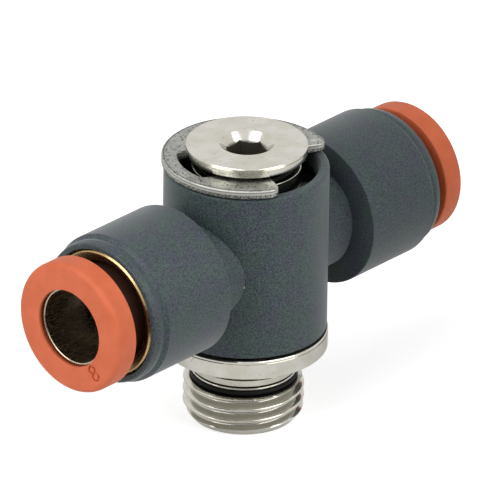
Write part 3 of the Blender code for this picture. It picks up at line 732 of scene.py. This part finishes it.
def make_rubber():
    finish = Finish("nitrile_rubber", 0.0, 0.2)
    grain = finish.noise(0.12, 3.0, 0.6)
    finish.colour(finish.blend(grain, *RUBBER_TONES))
    finish.dull(grain, 0.45, 0.65)
    finish.bump(grain, 0.01, 0.5)
    return finish.material


MATERIALS = {
    "nickel_plated_brass": make_nickel(),
    "spring_steel": make_spring(),
    "brass": make_brass(),
    "stainless_steel": make_steel(),
    "moulded_polymer": make_polymer(),
    "orange_polymer": make_orange(),
    "white_acetal": make_acetal(),
    "nitrile_rubber": make_rubber(),
}

# ---------------------------------------- stem


def thread_profile():
    """One pitch of the thread from root to root, as (rise, radius)."""
    tangent = 90.0 - THREAD_HALF_ANGLE
    crest = []
    for step in range(-THREAD_ROUND_STEPS, THREAD_ROUND_STEPS + 1):
        angle = math.radians(tangent * step / THREAD_ROUND_STEPS)
        crest.append((THREAD_ROUND * math.sin(angle),
                      THREAD_R - THREAD_ROUND * (1 - math.cos(angle))))
    root = []
    for step in range(THREAD_ROUND_STEPS + 1):
        angle = math.radians(tangent * (1 - step / THREAD_ROUND_STEPS))
        root.append((THREAD_PITCH / 2 - THREAD_ROUND * math.sin(angle),
                     THREAD_R - THREAD_DEPTH + THREAD_ROUND * (1 - math.cos(angle))))
    flank = []
    for step in range(1, THREAD_FLANK_STEPS):
        share = step / THREAD_FLANK_STEPS
        flank.append(tuple(Vector(crest[-1]).lerp(Vector(root[0]), share)))
    upper = flank + root
    lower = [(-rise, radius) for rise, radius in reversed(upper)]
    return lower + crest + upper[:-1]


def thread_limit(height):
    """The largest radius left by the lead-in and the run-out."""
    start = THREAD_END_R + (THREAD_R - THREAD_END_R) * height / THREAD_LEAD_IN
    end = THREAD_TOP_R + (THREAD_R - THREAD_TOP_R) * (THREAD_TOP - height) / THREAD_RUN_OUT
    return max(min(THREAD_R, start, end), GROOVE_R)


def make_thread():
    """The thread's helix, cut off flat at the stem's end and at the seal's groove."""
    profile = thread_profile()
    base = THREAD_CREST_Z - THREAD_TURNS_BELOW * THREAD_PITCH
    shape = bmesh.new()
    columns = []
    for index in range(SEGMENTS):
        share = index / SEGMENTS
        turn = 2 * math.pi * share + math.radians(THREAD_START_TURN)
        column = []
        for lap in range(THREAD_TURNS):
            for rise, radius in profile:
                height = base + THREAD_PITCH * (lap + share) + rise
                reach = min(radius, thread_limit(height))
                place = Vector((reach * math.cos(turn), reach * math.sin(turn), height))
                column.append(shape.verts.new(place * MM))
        columns.append(column)
    count = len(columns[0])
    for index in range(SEGMENTS):
        here = columns[index]
        there = columns[(index + 1) % SEGMENTS]
        lap = len(profile) if index == SEGMENTS - 1 else 0
        for row in range(count - 1 - lap):
            beside = row + lap
            shape.faces.new((here[row], there[beside], there[beside + 1], here[row + 1]))
    for height, outward in ((0.0, -1.0), (THREAD_TOP, 1.0)):
        every = shape.verts[:] + shape.edges[:] + shape.faces[:]
        bmesh.ops.bisect_plane(shape, geom=every, dist=TINY, plane_co=(0, 0, height * MM),
                               plane_no=(0, 0, outward), clear_outer=True)
        rim = [edge for edge in shape.edges if edge.is_boundary
               and all(abs(vert.co.z - height * MM) < FLUSH for vert in edge.verts)]
        bmesh.ops.contextual_create(shape, geom=rim)
    bmesh.ops.recalc_face_normals(shape, faces=shape.faces)
    return finish_mesh(shape, "thread_form")


def oring_groove(height):
    top = height + ORING_GROOVE_HALF
    bottom = height - ORING_GROOVE_HALF
    return [(JOURNAL_R, top, 0.06), (ORING_GROOVE_R, top, 0.1),
            (ORING_GROOVE_R, bottom, 0.1), (JOURNAL_R, bottom, 0.06)]


def collar(bottom):
    top = bottom + COLLAR_HEIGHT
    return [(WAIST_R, top, 0.05), (COLLAR_R, top, 0.08),
            (COLLAR_R, bottom, 0.08), (WAIST_R, bottom, 0.05)]


def turned_line(radius, top, width, depth):
    """A fine groove cut round the stem."""
    return [(radius, top, 0.0), (radius - depth, top, 0.0),
            (radius - depth, top - width, 0.0), (radius, top - width, 0.0)]


def make_stem():
    head_bottom = high("retaining_clip").z + SEAT_GAP
    land_top = low("retaining_clip").z - LAND_GAP
    upper_top = land_top - LAND_HEIGHT
    upper_bottom = upper_top - JOURNAL_HEIGHT
    lower_top = FLANGE_TOP + JOURNAL_HEIGHT
    neck_end, neck_line = NECK_LINE_Z
    rim = FLANGE_TOP + FLANGE_RIM
    line_end, line_top = NECK_TOP_LINE_Z
    stem = lathe("stem_turned", [
        (0.0, HEAD_TOP - HEX_MOUTH_R, 0.0),
        (HEX_MOUTH_R, HEAD_TOP, 0.04),
        (HEAD_R - HEAD_CHAMFER, HEAD_TOP, 0.03),
        (HEAD_R, HEAD_TOP - HEAD_CHAMFER, 0.03),
        *turned_line(HEAD_R, HEAD_TOP - HEAD_LINE_DROP, HEAD_LINE_WIDTH, LINE_DEPTH),
        (HEAD_R, head_bottom, 0.12),
        (CLIP_NECK_R, head_bottom, 0.05),
        (CLIP_NECK_R, land_top, 0.05),
        (LAND_R, land_top, 0.08),
        (LAND_R, upper_top, 0.1),
        (JOURNAL_R, upper_top, 0.18),
        *oring_groove(heights("upper_stem_seal")[1]),
        (JOURNAL_R, upper_bottom, 0.15),
        (WAIST_R, upper_bottom, 0.25),
        *collar(high("check_seal").z + COLLAR_GAP),
        *collar(low("check_seal").z - COLLAR_GAP - COLLAR_HEIGHT),
        (WAIST_R, lower_top, 0.25),
        (JOURNAL_R, lower_top, 0.15),
        *oring_groove(heights("lower_stem_seal")[1]),
        (JOURNAL_R, rim, 0.05),
        (FLANGE_R - FLANGE_CHAMFER, rim, 0.04),
        (FLANGE_R, rim - FLANGE_CHAMFER, 0.05),
        *turned_line(FLANGE_R, rim - FLANGE_LINE_DROP, LINE_WIDTH, LINE_DEPTH),
        (FLANGE_R, FLANGE_BOTTOM + FLANGE_UNDER_CHAMFER, 0.03),
        (FLANGE_R - FLANGE_UNDER_CHAMFER, FLANGE_BOTTOM, 0.03),
        (NECK_R, FLANGE_BOTTOM, 0.06),
        *turned_line(NECK_R, line_top, line_top - line_end, NECK_R - NECK_LINE_R),
        (NECK_R, neck_line, 0.04),
        (NECK_LINE_R, neck_line, 0.0),
        (NECK_LINE_R, neck_end, 0.0),
        (NECK_R, neck_end, 0.14),
        (NECK_R, GROOVE_TOP, 0.14),
        (GROOVE_R, GROOVE_TOP, 0.08),
        (GROOVE_R, THREAD_TOP - THREAD_PITCH, 0.0),
        (0.0, THREAD_TOP - THREAD_PITCH, 0.0),
    ], closed=False)
    combine(stem, make_thread(), "UNION")
    corner_r = HEX_ACROSS_FLATS / math.sqrt(3.0)
    place = shift(0, 0, HEAD_TOP) @ spin(90.0 + HEX_TURN)
    combine(stem, rod("hex_form", 6, corner_r, 2 * HEX_DEPTH, place))
    bore_top = HEAD_TOP - STEM_BORE_DROP
    combine(stem, lathe("bore_form", [
        (0.0, HEAD_TOP + BEYOND, 0.0),
        (DRIVER_HOLE_R, HEAD_TOP + BEYOND, 0.0),
        (DRIVER_HOLE_R, bore_top, 0.0),
        (STEM_BORE_R, bore_top, 0.1),
        (STEM_BORE_R, STEM_BORE_CHAMFER, 0.05),
        (STEM_BORE_R + STEM_BORE_CHAMFER + BEYOND, -BEYOND, 0.0),
        (0.0, -BEYOND, 0.0),
    ], closed=False))
    holes = ((METERED_HOLE_R, METERED_HOLES, AXIS_Z - METERED_HOLE_DROP),
             (FREE_FLOW_HOLE_R, FREE_FLOW_HOLES, lower_top + FREE_FLOW_RISE))
    for radius, count, height in holes:
        for index in range(count // 2):
            turn = spin(360.0 * index / count + HOLE_TURN)
            place = shift(0, 0, height) @ turn @ spin(90.0, "Y")
            combine(stem, rod("drill", DRILL_SEGMENTS, radius, 2 * JOURNAL_R, place))
    dress(stem, "nickel_plated_brass", "stem", "stem")


def make_oring(node, section, body, segments=FINE_SEGMENTS):
    """A round-section ring just inside a packed ring's outer side."""
    outer_r = outer_radius(node)
    height = heights(node)[1]
    points = []
    for step in range(SECTION_STEPS):
        angle = -2 * math.pi * step / SECTION_STEPS + math.pi / 2
        points.append((outer_r - section / 2 + section / 2 * math.cos(angle),
                       height + section / 2 * math.sin(angle), 0.0))
    ring = lathe(node + "_ring", points, segments=segments)
    dress(ring, "nitrile_rubber", body, node)


def make_thread_seal():
    bottom, _, top = heights("thread_seal")
    outer_r = outer_radius("thread_seal")
    inner_r = GROOVE_R + SEAL_PLAY
    crown = (top - bottom) / 2 * SEAL_CROWN
    seal = lathe("thread_seal_ring", [
        (outer_r, top, crown),
        (outer_r, bottom, crown),
        (inner_r, bottom, 0.05),
        (inner_r, top, 0.05),
    ], steps=SEAL_ROUND_STEPS)
    dress(seal, "nitrile_rubber", "stem", "thread_seal")


def make_check_seal():
    bottom, _, top = heights("check_seal")
    inner_r = WAIST_R + SEAL_PLAY
    lip_r = BODY_BORE_R - SEAL_PLAY
    seal = lathe("check_seal_cup", [
        (lip_r - CHECK_LIP, top, 0.15),
        (lip_r - CHECK_LIP, bottom + 2 * CHECK_LIP, 0.2),
        (lip_r, bottom, 0.06),
        (lip_r - CHECK_LIP, bottom, 0.06),
        (inner_r + 2 * CHECK_LIP, top - CHECK_LIP, 0.2),
        (inner_r + CHECK_LIP, bottom + CHECK_LIP, 0.12),
        (inner_r, bottom + CHECK_LIP, 0.06),
        (inner_r, top, 0.06),
    ], segments=FINE_SEGMENTS)
    dress(seal, "nitrile_rubber", "stem", "check_seal")


def make_needle_set():
    bottom, _, top = heights("metering_seat")
    cone = (top - bottom - SEAT_THROAT) / 2
    seat = lathe("metering_seat_turned", [
        (INSERT_R, top, 0.1),
        (INSERT_R, bottom, 0.1),
        (SEAT_ENTRY_R, bottom, 0.06),
        (ORIFICE_R, bottom + cone, 0.05),
        (ORIFICE_R, top - cone, 0.05),
        (SEAT_ENTRY_R, top, 0.06),
    ], segments=FINE_SEGMENTS)
    dress(seat, "brass", "stem", "metering_seat")
    bottom, _, top = heights("needle_bush")
    bush = lathe("needle_bush_turned", [
        (INSERT_R, top, 0.1),
        (INSERT_R, bottom, 0.1),
        (NEEDLE_BORE_R + NEEDLE_BUSH_CONE, bottom, 0.05),
        (NEEDLE_BORE_R, bottom + NEEDLE_BUSH_CONE, 0.05),
        (NEEDLE_BORE_R, top, 0.08),
    ], segments=FINE_SEGMENTS)
    dress(bush, "brass", "stem", "needle_bush")
    tip, _, top = heights("flow_needle")
    seal_z = heights("needle_seal")[1]
    groove_top = seal_z + NEEDLE_GROOVE_HALF
    groove_bottom = seal_z - NEEDLE_GROOVE_HALF
    groove_r = NEEDLE_R - NEEDLE_GROOVE_DEPTH
    step_z = seal_z - NEEDLE_STEP
    needle = lathe("flow_needle_turned", [
        (0.0, top, 0.0),
        (NEEDLE_R, top, 0.2),
        (NEEDLE_R, groove_top, 0.05),
        (groove_r, groove_top, 0.05),
        (groove_r, groove_bottom, 0.05),
        (NEEDLE_R, groove_bottom, 0.05),
        (NEEDLE_R, step_z, 0.1),
        (NEEDLE_POINT_R, step_z - NEEDLE_R + NEEDLE_POINT_R, 0.1),
        (NEEDLE_POINT_R, tip + NEEDLE_POINT_LENGTH, 0.1),
        (NEEDLE_TIP_R, tip, 0.1),
        (0.0, tip, 0.0),
    ], closed=False, segments=FINE_SEGMENTS)
    width, depth = NEEDLE_SLOT
    combine(needle, block("slot_form", (width, 3 * NEEDLE_R, 2 * depth), shift(0, 0, top)))
    dress(needle, "brass", "needle", "flow_needle")
    make_oring("needle_seal", NEEDLE_SEAL_SECTION, "needle_carrier", SMALL_SEGMENTS)


# ---------------------------------------- retaining clip

def clip_inner_radius(angle):
    """The clip's inner edge: lobes on the stem with a window between each two."""
    inside = min(abs(angle) - CLIP_BACK_HALF, CLIP_WINDOW_END - abs(angle))
    share = min(max(inside / CLIP_WINDOW_EASE + 0.5, 0.0), 1.0)
    return CLIP_LOBE_R + (CLIP_WINDOW_R - CLIP_LOBE_R) * share * share * (3.0 - 2.0 * share)


def clip_outline():
    """One arm from the back to its end and in again, then its mirror image."""
    corner_turn = math.degrees(math.asin(CLIP_CORNER / (CLIP_R - CLIP_CORNER)))
    tip_turn = math.degrees(math.asin(CLIP_TIP / (CLIP_LOBE_R + CLIP_TIP)))
    end = []
    for centre_r, centre_turn, radius, start in (
            (CLIP_R - CLIP_CORNER, CLIP_ARM_END - corner_turn, CLIP_CORNER, 0.0),
            (CLIP_LOBE_R + CLIP_TIP, CLIP_ARM_END - tip_turn, CLIP_TIP, 90.0)):
        for step in range(CLIP_CORNER_STEPS + 1):
            angle = math.radians(start + 90.0 * step / CLIP_CORNER_STEPS)
            along = centre_r + radius * math.cos(angle)
            across = radius * math.sin(angle)
            turn = centre_turn + math.degrees(math.atan2(across, along))
            end.append((math.hypot(along, across), turn))
    arm = []
    for step in range(CLIP_OUTER_STEPS):
        arm.append((CLIP_R, end[0][1] * step / CLIP_OUTER_STEPS))
    arm += end
    for step in range(1, CLIP_INNER_STEPS + 1):
        angle = end[-1][1] * (1.0 - step / CLIP_INNER_STEPS)
        arm.append((clip_inner_radius(angle), angle))
    both = arm + [(radius, -angle) for radius, angle in reversed(arm[1:-1])]
    return [(radius * math.cos(math.radians(angle + CLIP_TURN)),
             radius * math.sin(math.radians(angle + CLIP_TURN))) for radius, angle in both]


def make_clip():
    bottom, _, top = heights("retaining_clip")
    shape = bmesh.new()
    outline = clip_outline()
    rims = []
    for height in (bottom, top):
        rims.append([shape.verts.new(Vector((x, y, height)) * MM) for x, y in outline])
    count = len(rims[0])
    for index in range(count):
        there = (index + 1) % count
        shape.faces.new((rims[0][index], rims[0][there], rims[1][there], rims[1][index]))
    shape.faces.new(rims[1])
    shape.faces.new(rims[0][::-1])
    bmesh.ops.recalc_face_normals(shape, faces=shape.faces)
    edges = [edge for edge in shape.edges
             if abs(edge.verts[0].co.z - edge.verts[1].co.z) < TINY]
    bmesh.ops.bevel(shape, geom=edges, offset=CLIP_EDGE * MM, segments=CLIP_EDGE_STEPS,
                    profile=0.5, affect="EDGES", clamp_overlap=True)
    clip = finish_mesh(shape, "retaining_clip_stamped")
    dent = bmesh.new()
    radius = (DIMPLE_R ** 2 + DIMPLE_DEPTH ** 2) / (2 * DIMPLE_DEPTH)
    bmesh.ops.create_icosphere(dent, subdivisions=DIMPLE_FINENESS, radius=radius * MM)
    dent.transform(shift(*DIMPLE_AT, top + radius - DIMPLE_DEPTH))
    combine(clip, finish_mesh(dent, "dimple_form"))
    dress(clip, "spring_steel", "stem", "retaining_clip")


# ---------------------------------------- body

def make_body():
    body = lathe("banjo_body_moulded", [
        (0.0, BODY_TOP, 0.0),
        (BODY_R, BODY_TOP, BODY_RIM_ROUND),
        (BODY_R, BODY_BOTTOM, BODY_FOOT_ROUND),
        (0.0, BODY_BOTTOM, 0.0),
    ], closed=False)
    start = PORT_END - PORT_LENGTH
    taper = [(PORT_R - inward, PORT_END - back, size)
             for back, inward, size in reversed(PORT_TAPER)]
    inside = BODY_BORE_R / 4
    for side in (-1, 1):
        port = lathe("port_form", [
            (0.0, PORT_END, 0.0),
            (PORT_END_R, PORT_END, PORT_EDGE_ROUND),
            *taper,
            (PORT_R, start, PORT_START_ROUND),
            (PORT_GROOVE_R, start, 0.2),
            (PORT_GROOVE_R, start - PORT_GROOVE_WIDTH, 0.1),
            (PORT_NECK_R, start - PORT_GROOVE_WIDTH, 0.1),
            (PORT_NECK_R, inside, 0.0),
            (0.0, inside, 0.0),
        ], closed=False, steps=FINE_ROUND_STEPS)
        port.data.transform(port_matrix(side))
        combine(body, port, "UNION")
    combine(body, lathe("bore_form", [
        (0.0, BODY_TOP + BEYOND, 0.0),
        (BODY_BORE_R + BODY_BORE_CHAMFER + BEYOND, BODY_TOP + BEYOND, 0.0),
        (BODY_BORE_R, BODY_TOP - BODY_BORE_CHAMFER, 0.05),
        (BODY_BORE_R, BODY_BOTTOM - BEYOND, 0.0),
        (0.0, BODY_BOTTOM - BEYOND, 0.0),
    ], closed=False))
    gland_start = low("right_tube_seal").x - SEAT_GAP
    gland_end = high("right_tube_seal").x
    for side in (-1, 1):
        hollow = lathe("hollow_form", [
            (0.0, PORT_END + BEYOND, 0.0),
            (CARTRIDGE_BORE_R + PORT_BORE_CHAMFER + BEYOND, PORT_END + BEYOND, 0.0),
            (CARTRIDGE_BORE_R, PORT_END - PORT_BORE_CHAMFER, 0.05),
            (CARTRIDGE_BORE_R, gland_end, 0.1),
            (GLAND_R, gland_end, 0.1),
            (GLAND_R, gland_start, 0.1),
            (TUBE_GUIDE_R, gland_start, 0.1),
            (TUBE_GUIDE_R, TUBE_STOP, 0.1),
            (PASSAGE_R, TUBE_STOP, 0.1),
            (PASSAGE_R, BODY_BORE_R / 2, 0.0),
            (0.0, BODY_BORE_R / 2, 0.0),
        ], closed=False)
        hollow.data.transform(port_matrix(side))
        combine(body, hollow)
    dress(body, "moulded_polymer", "swivel_body", "banjo_body")


# ---------------------------------------- push-in ports

def reach(node, side):
    """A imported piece's ends along its port, nearest the stem first."""
    return sorted((side * low(node).x, side * high(node).x))


def make_size_mark(face):
    """The tube size's number, as a form that engraves it in a release ring's face."""
    curve = bpy.data.curves.new("size_mark", "FONT")
    curve.body = SIZE_MARK
    curve.size = SIZE_MARK_HEIGHT * SIZE_MARK_FONT * MM
    curve.align_x = "CENTER"
    curve.align_y = "CENTER"
    curve.extrude = SIZE_MARK_DEPTH * MM
    text = add_object("size_mark", curve)
    graph = bpy.context.evaluated_depsgraph_get()
    mesh = bpy.data.meshes.new_from_object(text.evaluated_get(graph))
    bpy.data.objects.remove(text, do_unlink=True)
    shape = bmesh.new()
    shape.from_mesh(mesh)
    bmesh.ops.remove_doubles(shape, verts=shape.verts, dist=TINY)
    shape.transform(shift(0, 0, face) @ spin(SIZE_MARK_TURN) @ shift(0, -SIZE_MARK_R, 0))
    return finish_mesh(shape, "size_mark_form")


def make_port_pieces(side, word):
    """What one port holds: tube seal, support ring, bush, release ring, grip sleeve."""
    def fit(piece, slot, body, node):
        piece.data.transform(port_matrix(side))
        dress(piece, slot, body, node)

    start, end = reach(f"{word}_tube_seal", side)
    middle = (start + end) / 2
    lip_r = TUBE_HOLE_R + TUBE_SEAL_GAP
    half = TUBE_SEAL_LIP_HALF
    web_r = lip_r + (end - start) / 2 - half
    seat_r = GLAND_R - SEAT_GAP
    seal = lathe(f"{word}_tube_seal_moulded", [
        (seat_r, end, 0.12),
        (seat_r, start, 0.12),
        (web_r, start, 0.1),
        (lip_r, middle - half, 0.08),
        (lip_r, middle + half, 0.08),
        (web_r, end, 0.1),
    ], segments=FINE_SEGMENTS)
    fit(seal, "nitrile_rubber", "swivel_body", f"{word}_tube_seal")

    start, end = reach(f"{word}_support_ring", side)
    hole_r = TUBE_HOLE_R + SUPPORT_HOLE_GAP
    ring = lathe(f"{word}_support_ring_turned", [
        (BUSH_R, end, 0.12),
        (BUSH_R, start, 0.12),
        (hole_r, start, 0.12),
        (hole_r, end, 0.12),
    ], segments=FINE_SEGMENTS)
    fit(ring, "white_acetal", "swivel_body", f"{word}_support_ring")

    start, end = reach(f"{word}_cartridge_bush", side)
    end += BUSH_FORWARD
    throat = end - THROAT_BACK
    bush = lathe(f"{word}_cartridge_bush_turned", [
        (BUSH_CREST_R[0], end, 0.05),
        (BUSH_R, end - BUSH_OUTER_CONE, 0.04),
        (BUSH_R, start, 0.08),
        (BUSH_MOUTH_R, start, 0.06),
        (BUSH_MOUTH_R, throat - BUSH_MOUTH_R + THROAT_R, 0.1),
        (THROAT_R, throat, 0.1),
        (THROAT_R, throat + THROAT_LENGTH, 0.1),
        (BUSH_MOUTH_R, throat + THROAT_LENGTH + FLARE_LENGTH, 0.1),
        (BUSH_MOUTH_R, end - BUSH_LIP_LENGTH - BUSH_CONE_LENGTH, 0.1),
        (BUSH_LIP_R, end - BUSH_LIP_LENGTH, 0.05),
        (BUSH_LIP_R, end - BUSH_CONE_LENGTH, 0.05),
        (BUSH_CREST_R[1], end, 0.05),
    ])
    fit(bush, "brass", "swivel_body", f"{word}_cartridge_bush")

    start, face = reach(f"{word}_release_ring", side)
    head = face - COLLET_HEAD_LENGTH
    collet = lathe(f"{word}_release_ring_moulded", [
        (COLLET_HEAD_R, face, COLLET_EDGE_ROUND),
        (COLLET_HEAD_R, head, 0.2),
        (SHANK_NECK_R, head, 0.15),
        (SHANK_NECK_R, face - SHANK_NECK_BACK, 0.1),
        (SHANK_R, face - SHANK_NECK_BACK - SHANK_CONE, 0.1),
        (SHANK_R, start, 0.1),
        (COLLET_BORE_R, start, 0.08),
        (COLLET_BORE_R, face - COLLET_LIP, 0.03),
        (COLLET_LIP_R, face - COLLET_LIP, 0.05),
        (COLLET_LIP_R, face, 0.16),
    ], steps=FINE_ROUND_STEPS)
    combine(collet, make_size_mark(face))
    fit(collet, "orange_polymer", f"{word}_collet", f"{word}_release_ring")

    start, end = reach(f"{word}_grip_sleeve", side)
    claw_end = start + CLAW_LENGTH
    sleeve = lathe(f"{word}_grip_sleeve_drawn", [
        (SLEEVE_R, end, 0.14),
        (SLEEVE_R, claw_end + CLAW_CONE + CLAW_ROUND, CLAW_ROUND),
        (CLAW_R - CLAW_CONE, claw_end + CLAW_CONE, CLAW_ROUND),
        (CLAW_R, claw_end, 0.12),
        (CLAW_R, start, 0.12),
        (TUBE_HOLE_R, start, 0.1),
        (TUBE_HOLE_R, end, 0.14),
    ])
    middle = start + CLAW_SLOT_LENGTH / 2 - BEYOND / 2
    size = (CLAW_SLOT_WIDTH, 3 * CLAW_R, CLAW_SLOT_LENGTH + BEYOND)
    for index in range(CLAW_SLOT_PAIRS):
        turn = spin(180.0 * (index + 0.5) / CLAW_SLOT_PAIRS)
        combine(sleeve, block("slit_form", size, shift(0, 0, middle) @ turn))
    fit(sleeve, "stainless_steel", f"{word}_collet", f"{word}_grip_sleeve")


make_stem()
make_thread_seal()
for ring_node in ("lower_stem_seal", "upper_stem_seal"):
    make_oring(ring_node, high(ring_node).z - low(ring_node).z, "stem")
make_check_seal()
make_needle_set()
make_clip()
make_body()
make_port_pieces(-1, "left")
make_port_pieces(1, "right")

# ---------------------------------------- camera

AIM = Vector((0.99, 1.69, 19.73)) * MM
CAMERA_AZIMUTH = -137.945
CAMERA_ELEVATION = 26.635
CAMERA_ROLL = 0.812
CAMERA_DISTANCE = 1.3269    # metres
CAMERA_LENS = 921.15
CAMERA_SENSOR = 36.0


def direction(azimuth, elevation):
    """A unit vector that points out to an azimuth and an elevation."""
    flat = math.cos(math.radians(elevation))
    return Vector((flat * math.cos(math.radians(azimuth)),
                   flat * math.sin(math.radians(azimuth)),
                   math.sin(math.radians(elevation))))


def facing(place, toward, roll=0.0):
    """A matrix that puts a thing at a place, its own Z axis along toward."""
    turn = toward.to_track_quat("Z", "Y").to_matrix().to_4x4()
    return Matrix.Translation(place) @ turn @ spin(roll)


def make_camera():
    data = bpy.data.cameras.new("camera")
    data.lens = CAMERA_LENS
    data.sensor_width = CAMERA_SENSOR
    camera = add_object("camera", data)
    away = direction(CAMERA_AZIMUTH, CAMERA_ELEVATION)
    camera.matrix_world = facing(AIM + away * CAMERA_DISTANCE, away, CAMERA_ROLL)
    bpy.context.scene.camera = camera


make_camera()

# ---------------------------------------- studio

# Distances and sizes in metres, powers in watts, azimuths from the camera's
AMBIENT_COLOUR = (0.97, 0.985, 1.0)
AMBIENT_STRENGTH = 0.26
WHITE = (1.0, 1.0, 1.0)
FLOOR_HALF = 3.0
FLOOR_DROP = 0.00002
FLOOR_COLOUR = (0.82, 0.82, 0.82)
FLOOR_ROUGHNESS = 0.9
FLOOR_SHOWN = (0.62, 0.25)      # its own light, to the camera and to shiny surfaces
UNIT_HALF = 0.5                 # of a square one metre wide, scaled to its size
CARD_COLOUR = (0.07, 0.07, 0.065)
CARD_DISTANCE = 0.055
CARD_SIZE = (0.068, 0.028)
NET_COLOUR = (0.1, 0.1, 0.1)
NET_COVER = 0.95
NET_OVER = (17.5, -8.0, 20.0)   # millimetres, the right-hand port's front
NET_DISTANCE = 0.03
NET_SIZE = (0.014, 0.036)
# each lamp: azimuth and elevation, distance, size, power
LEFT_LAMP = ((-48.0, 42.0), 0.42, (0.32, 0.4), 1.15)
RIGHT_LAMP = ((56.0, 38.0), 0.6, (0.45, 0.5), 1.7)


def ray_share(tree, camera, shiny):
    """One amount for camera rays, another for glossy and transmission rays, else 0."""
    path = tree.nodes.new("ShaderNodeLightPath").outputs
    total = calculate(tree, "MULTIPLY", path["Is Camera Ray"], camera)
    for name in ("Is Glossy Ray", "Is Transmission Ray"):
        part = calculate(tree, "MULTIPLY", path[name], shiny)
        total = calculate(tree, "MAXIMUM", total, part)
    return total


def make_world():
    """Soft light all round, and white for the camera and for reflections."""
    world = bpy.data.worlds.new("studio")
    bpy.context.scene.world = world
    world.use_nodes = True
    tree = world.node_tree
    ambient = tree.nodes["Background"]
    ambient.inputs["Color"].default_value = (*AMBIENT_COLOUR, 1.0)
    ambient.inputs["Strength"].default_value = AMBIENT_STRENGTH
    backdrop = tree.nodes.new("ShaderNodeBackground")
    backdrop.inputs["Color"].default_value = (*WHITE, 1.0)
    mix = tree.nodes.new("ShaderNodeMixShader")
    tree.links.new(ray_share(tree, 1.0, 1.0), mix.inputs[0])
    tree.links.new(ambient.outputs[0], mix.inputs[1])
    tree.links.new(backdrop.outputs[0], mix.inputs[2])
    tree.links.new(mix.outputs[0], tree.nodes["World Output"].inputs["Surface"])


def make_panel(name, half, colour):
    """A flat square, half metres to each side of its middle, and its plain finish."""
    shape = bmesh.new()
    bmesh.ops.create_grid(shape, x_segments=1, y_segments=1, size=half)
    panel = finish_mesh(shape, name)
    finish = Finish(name + "_face", 0.0, 0.0)
    finish.colour((*colour, 1.0))
    finish.roughness(1.0)
    panel.data.materials.append(finish.material)
    return panel, finish


def make_floor():
    floor, finish = make_panel("floor", FLOOR_HALF, FLOOR_COLOUR)
    floor.location.z = -FLOOR_DROP
    finish.roughness(FLOOR_ROUGHNESS)
    finish.plug((*WHITE, 1.0), finish.shader.inputs["Emission Color"])
    shown = ray_share(finish.tree, *FLOOR_SHOWN)
    finish.plug(shown, finish.shader.inputs["Emission Strength"])


def make_lamp(name, angles, distance, size, power):
    data = bpy.data.lights.new(name, "AREA")
    data.shape = "RECTANGLE"
    data.size, data.size_y = size
    data.energy = power
    lamp = add_object(name, data)
    lamp.visible_camera = False
    away = direction(CAMERA_AZIMUTH + angles[0], angles[1])
    lamp.matrix_world = facing(AIM + away * distance, away)


def make_dark_card():
    """A low dark board between the lamps, toward the camera, that only shiny sides see."""
    card, _ = make_panel("dark_card", UNIT_HALF, CARD_COLOUR)
    toward = direction(CAMERA_AZIMUTH, 0.0)
    middle = toward * CARD_DISTANCE + Vector((0, 0, CARD_SIZE[1] / 2))
    card.matrix_world = facing(middle, toward) @ Matrix.Diagonal((*CARD_SIZE, 1.0, 1.0))
    card.visible_camera = False
    card.visible_diffuse = False
    card.visible_shadow = False


def make_net():
    """A small net between the right lamp and the right-hand port: it only casts shade."""
    net, finish = make_panel("lamp_net", UNIT_HALF, NET_COLOUR)
    toward = direction(CAMERA_AZIMUTH + RIGHT_LAMP[0][0], RIGHT_LAMP[0][1])
    middle = Vector(NET_OVER) * MM + toward * NET_DISTANCE
    net.matrix_world = facing(middle, toward) @ Matrix.Diagonal((*NET_SIZE, 1.0, 1.0))
    net.visible_camera = False
    net.visible_diffuse = False
    net.visible_glossy = False
    finish.plug(NET_COVER, finish.shader.inputs["Alpha"])


make_world()
make_floor()
make_dark_card()
make_net()
make_lamp("left_softbox", *LEFT_LAMP)
make_lamp("right_softbox", *RIGHT_LAMP)

bpy.context.scene.view_settings.view_transform = "Standard"
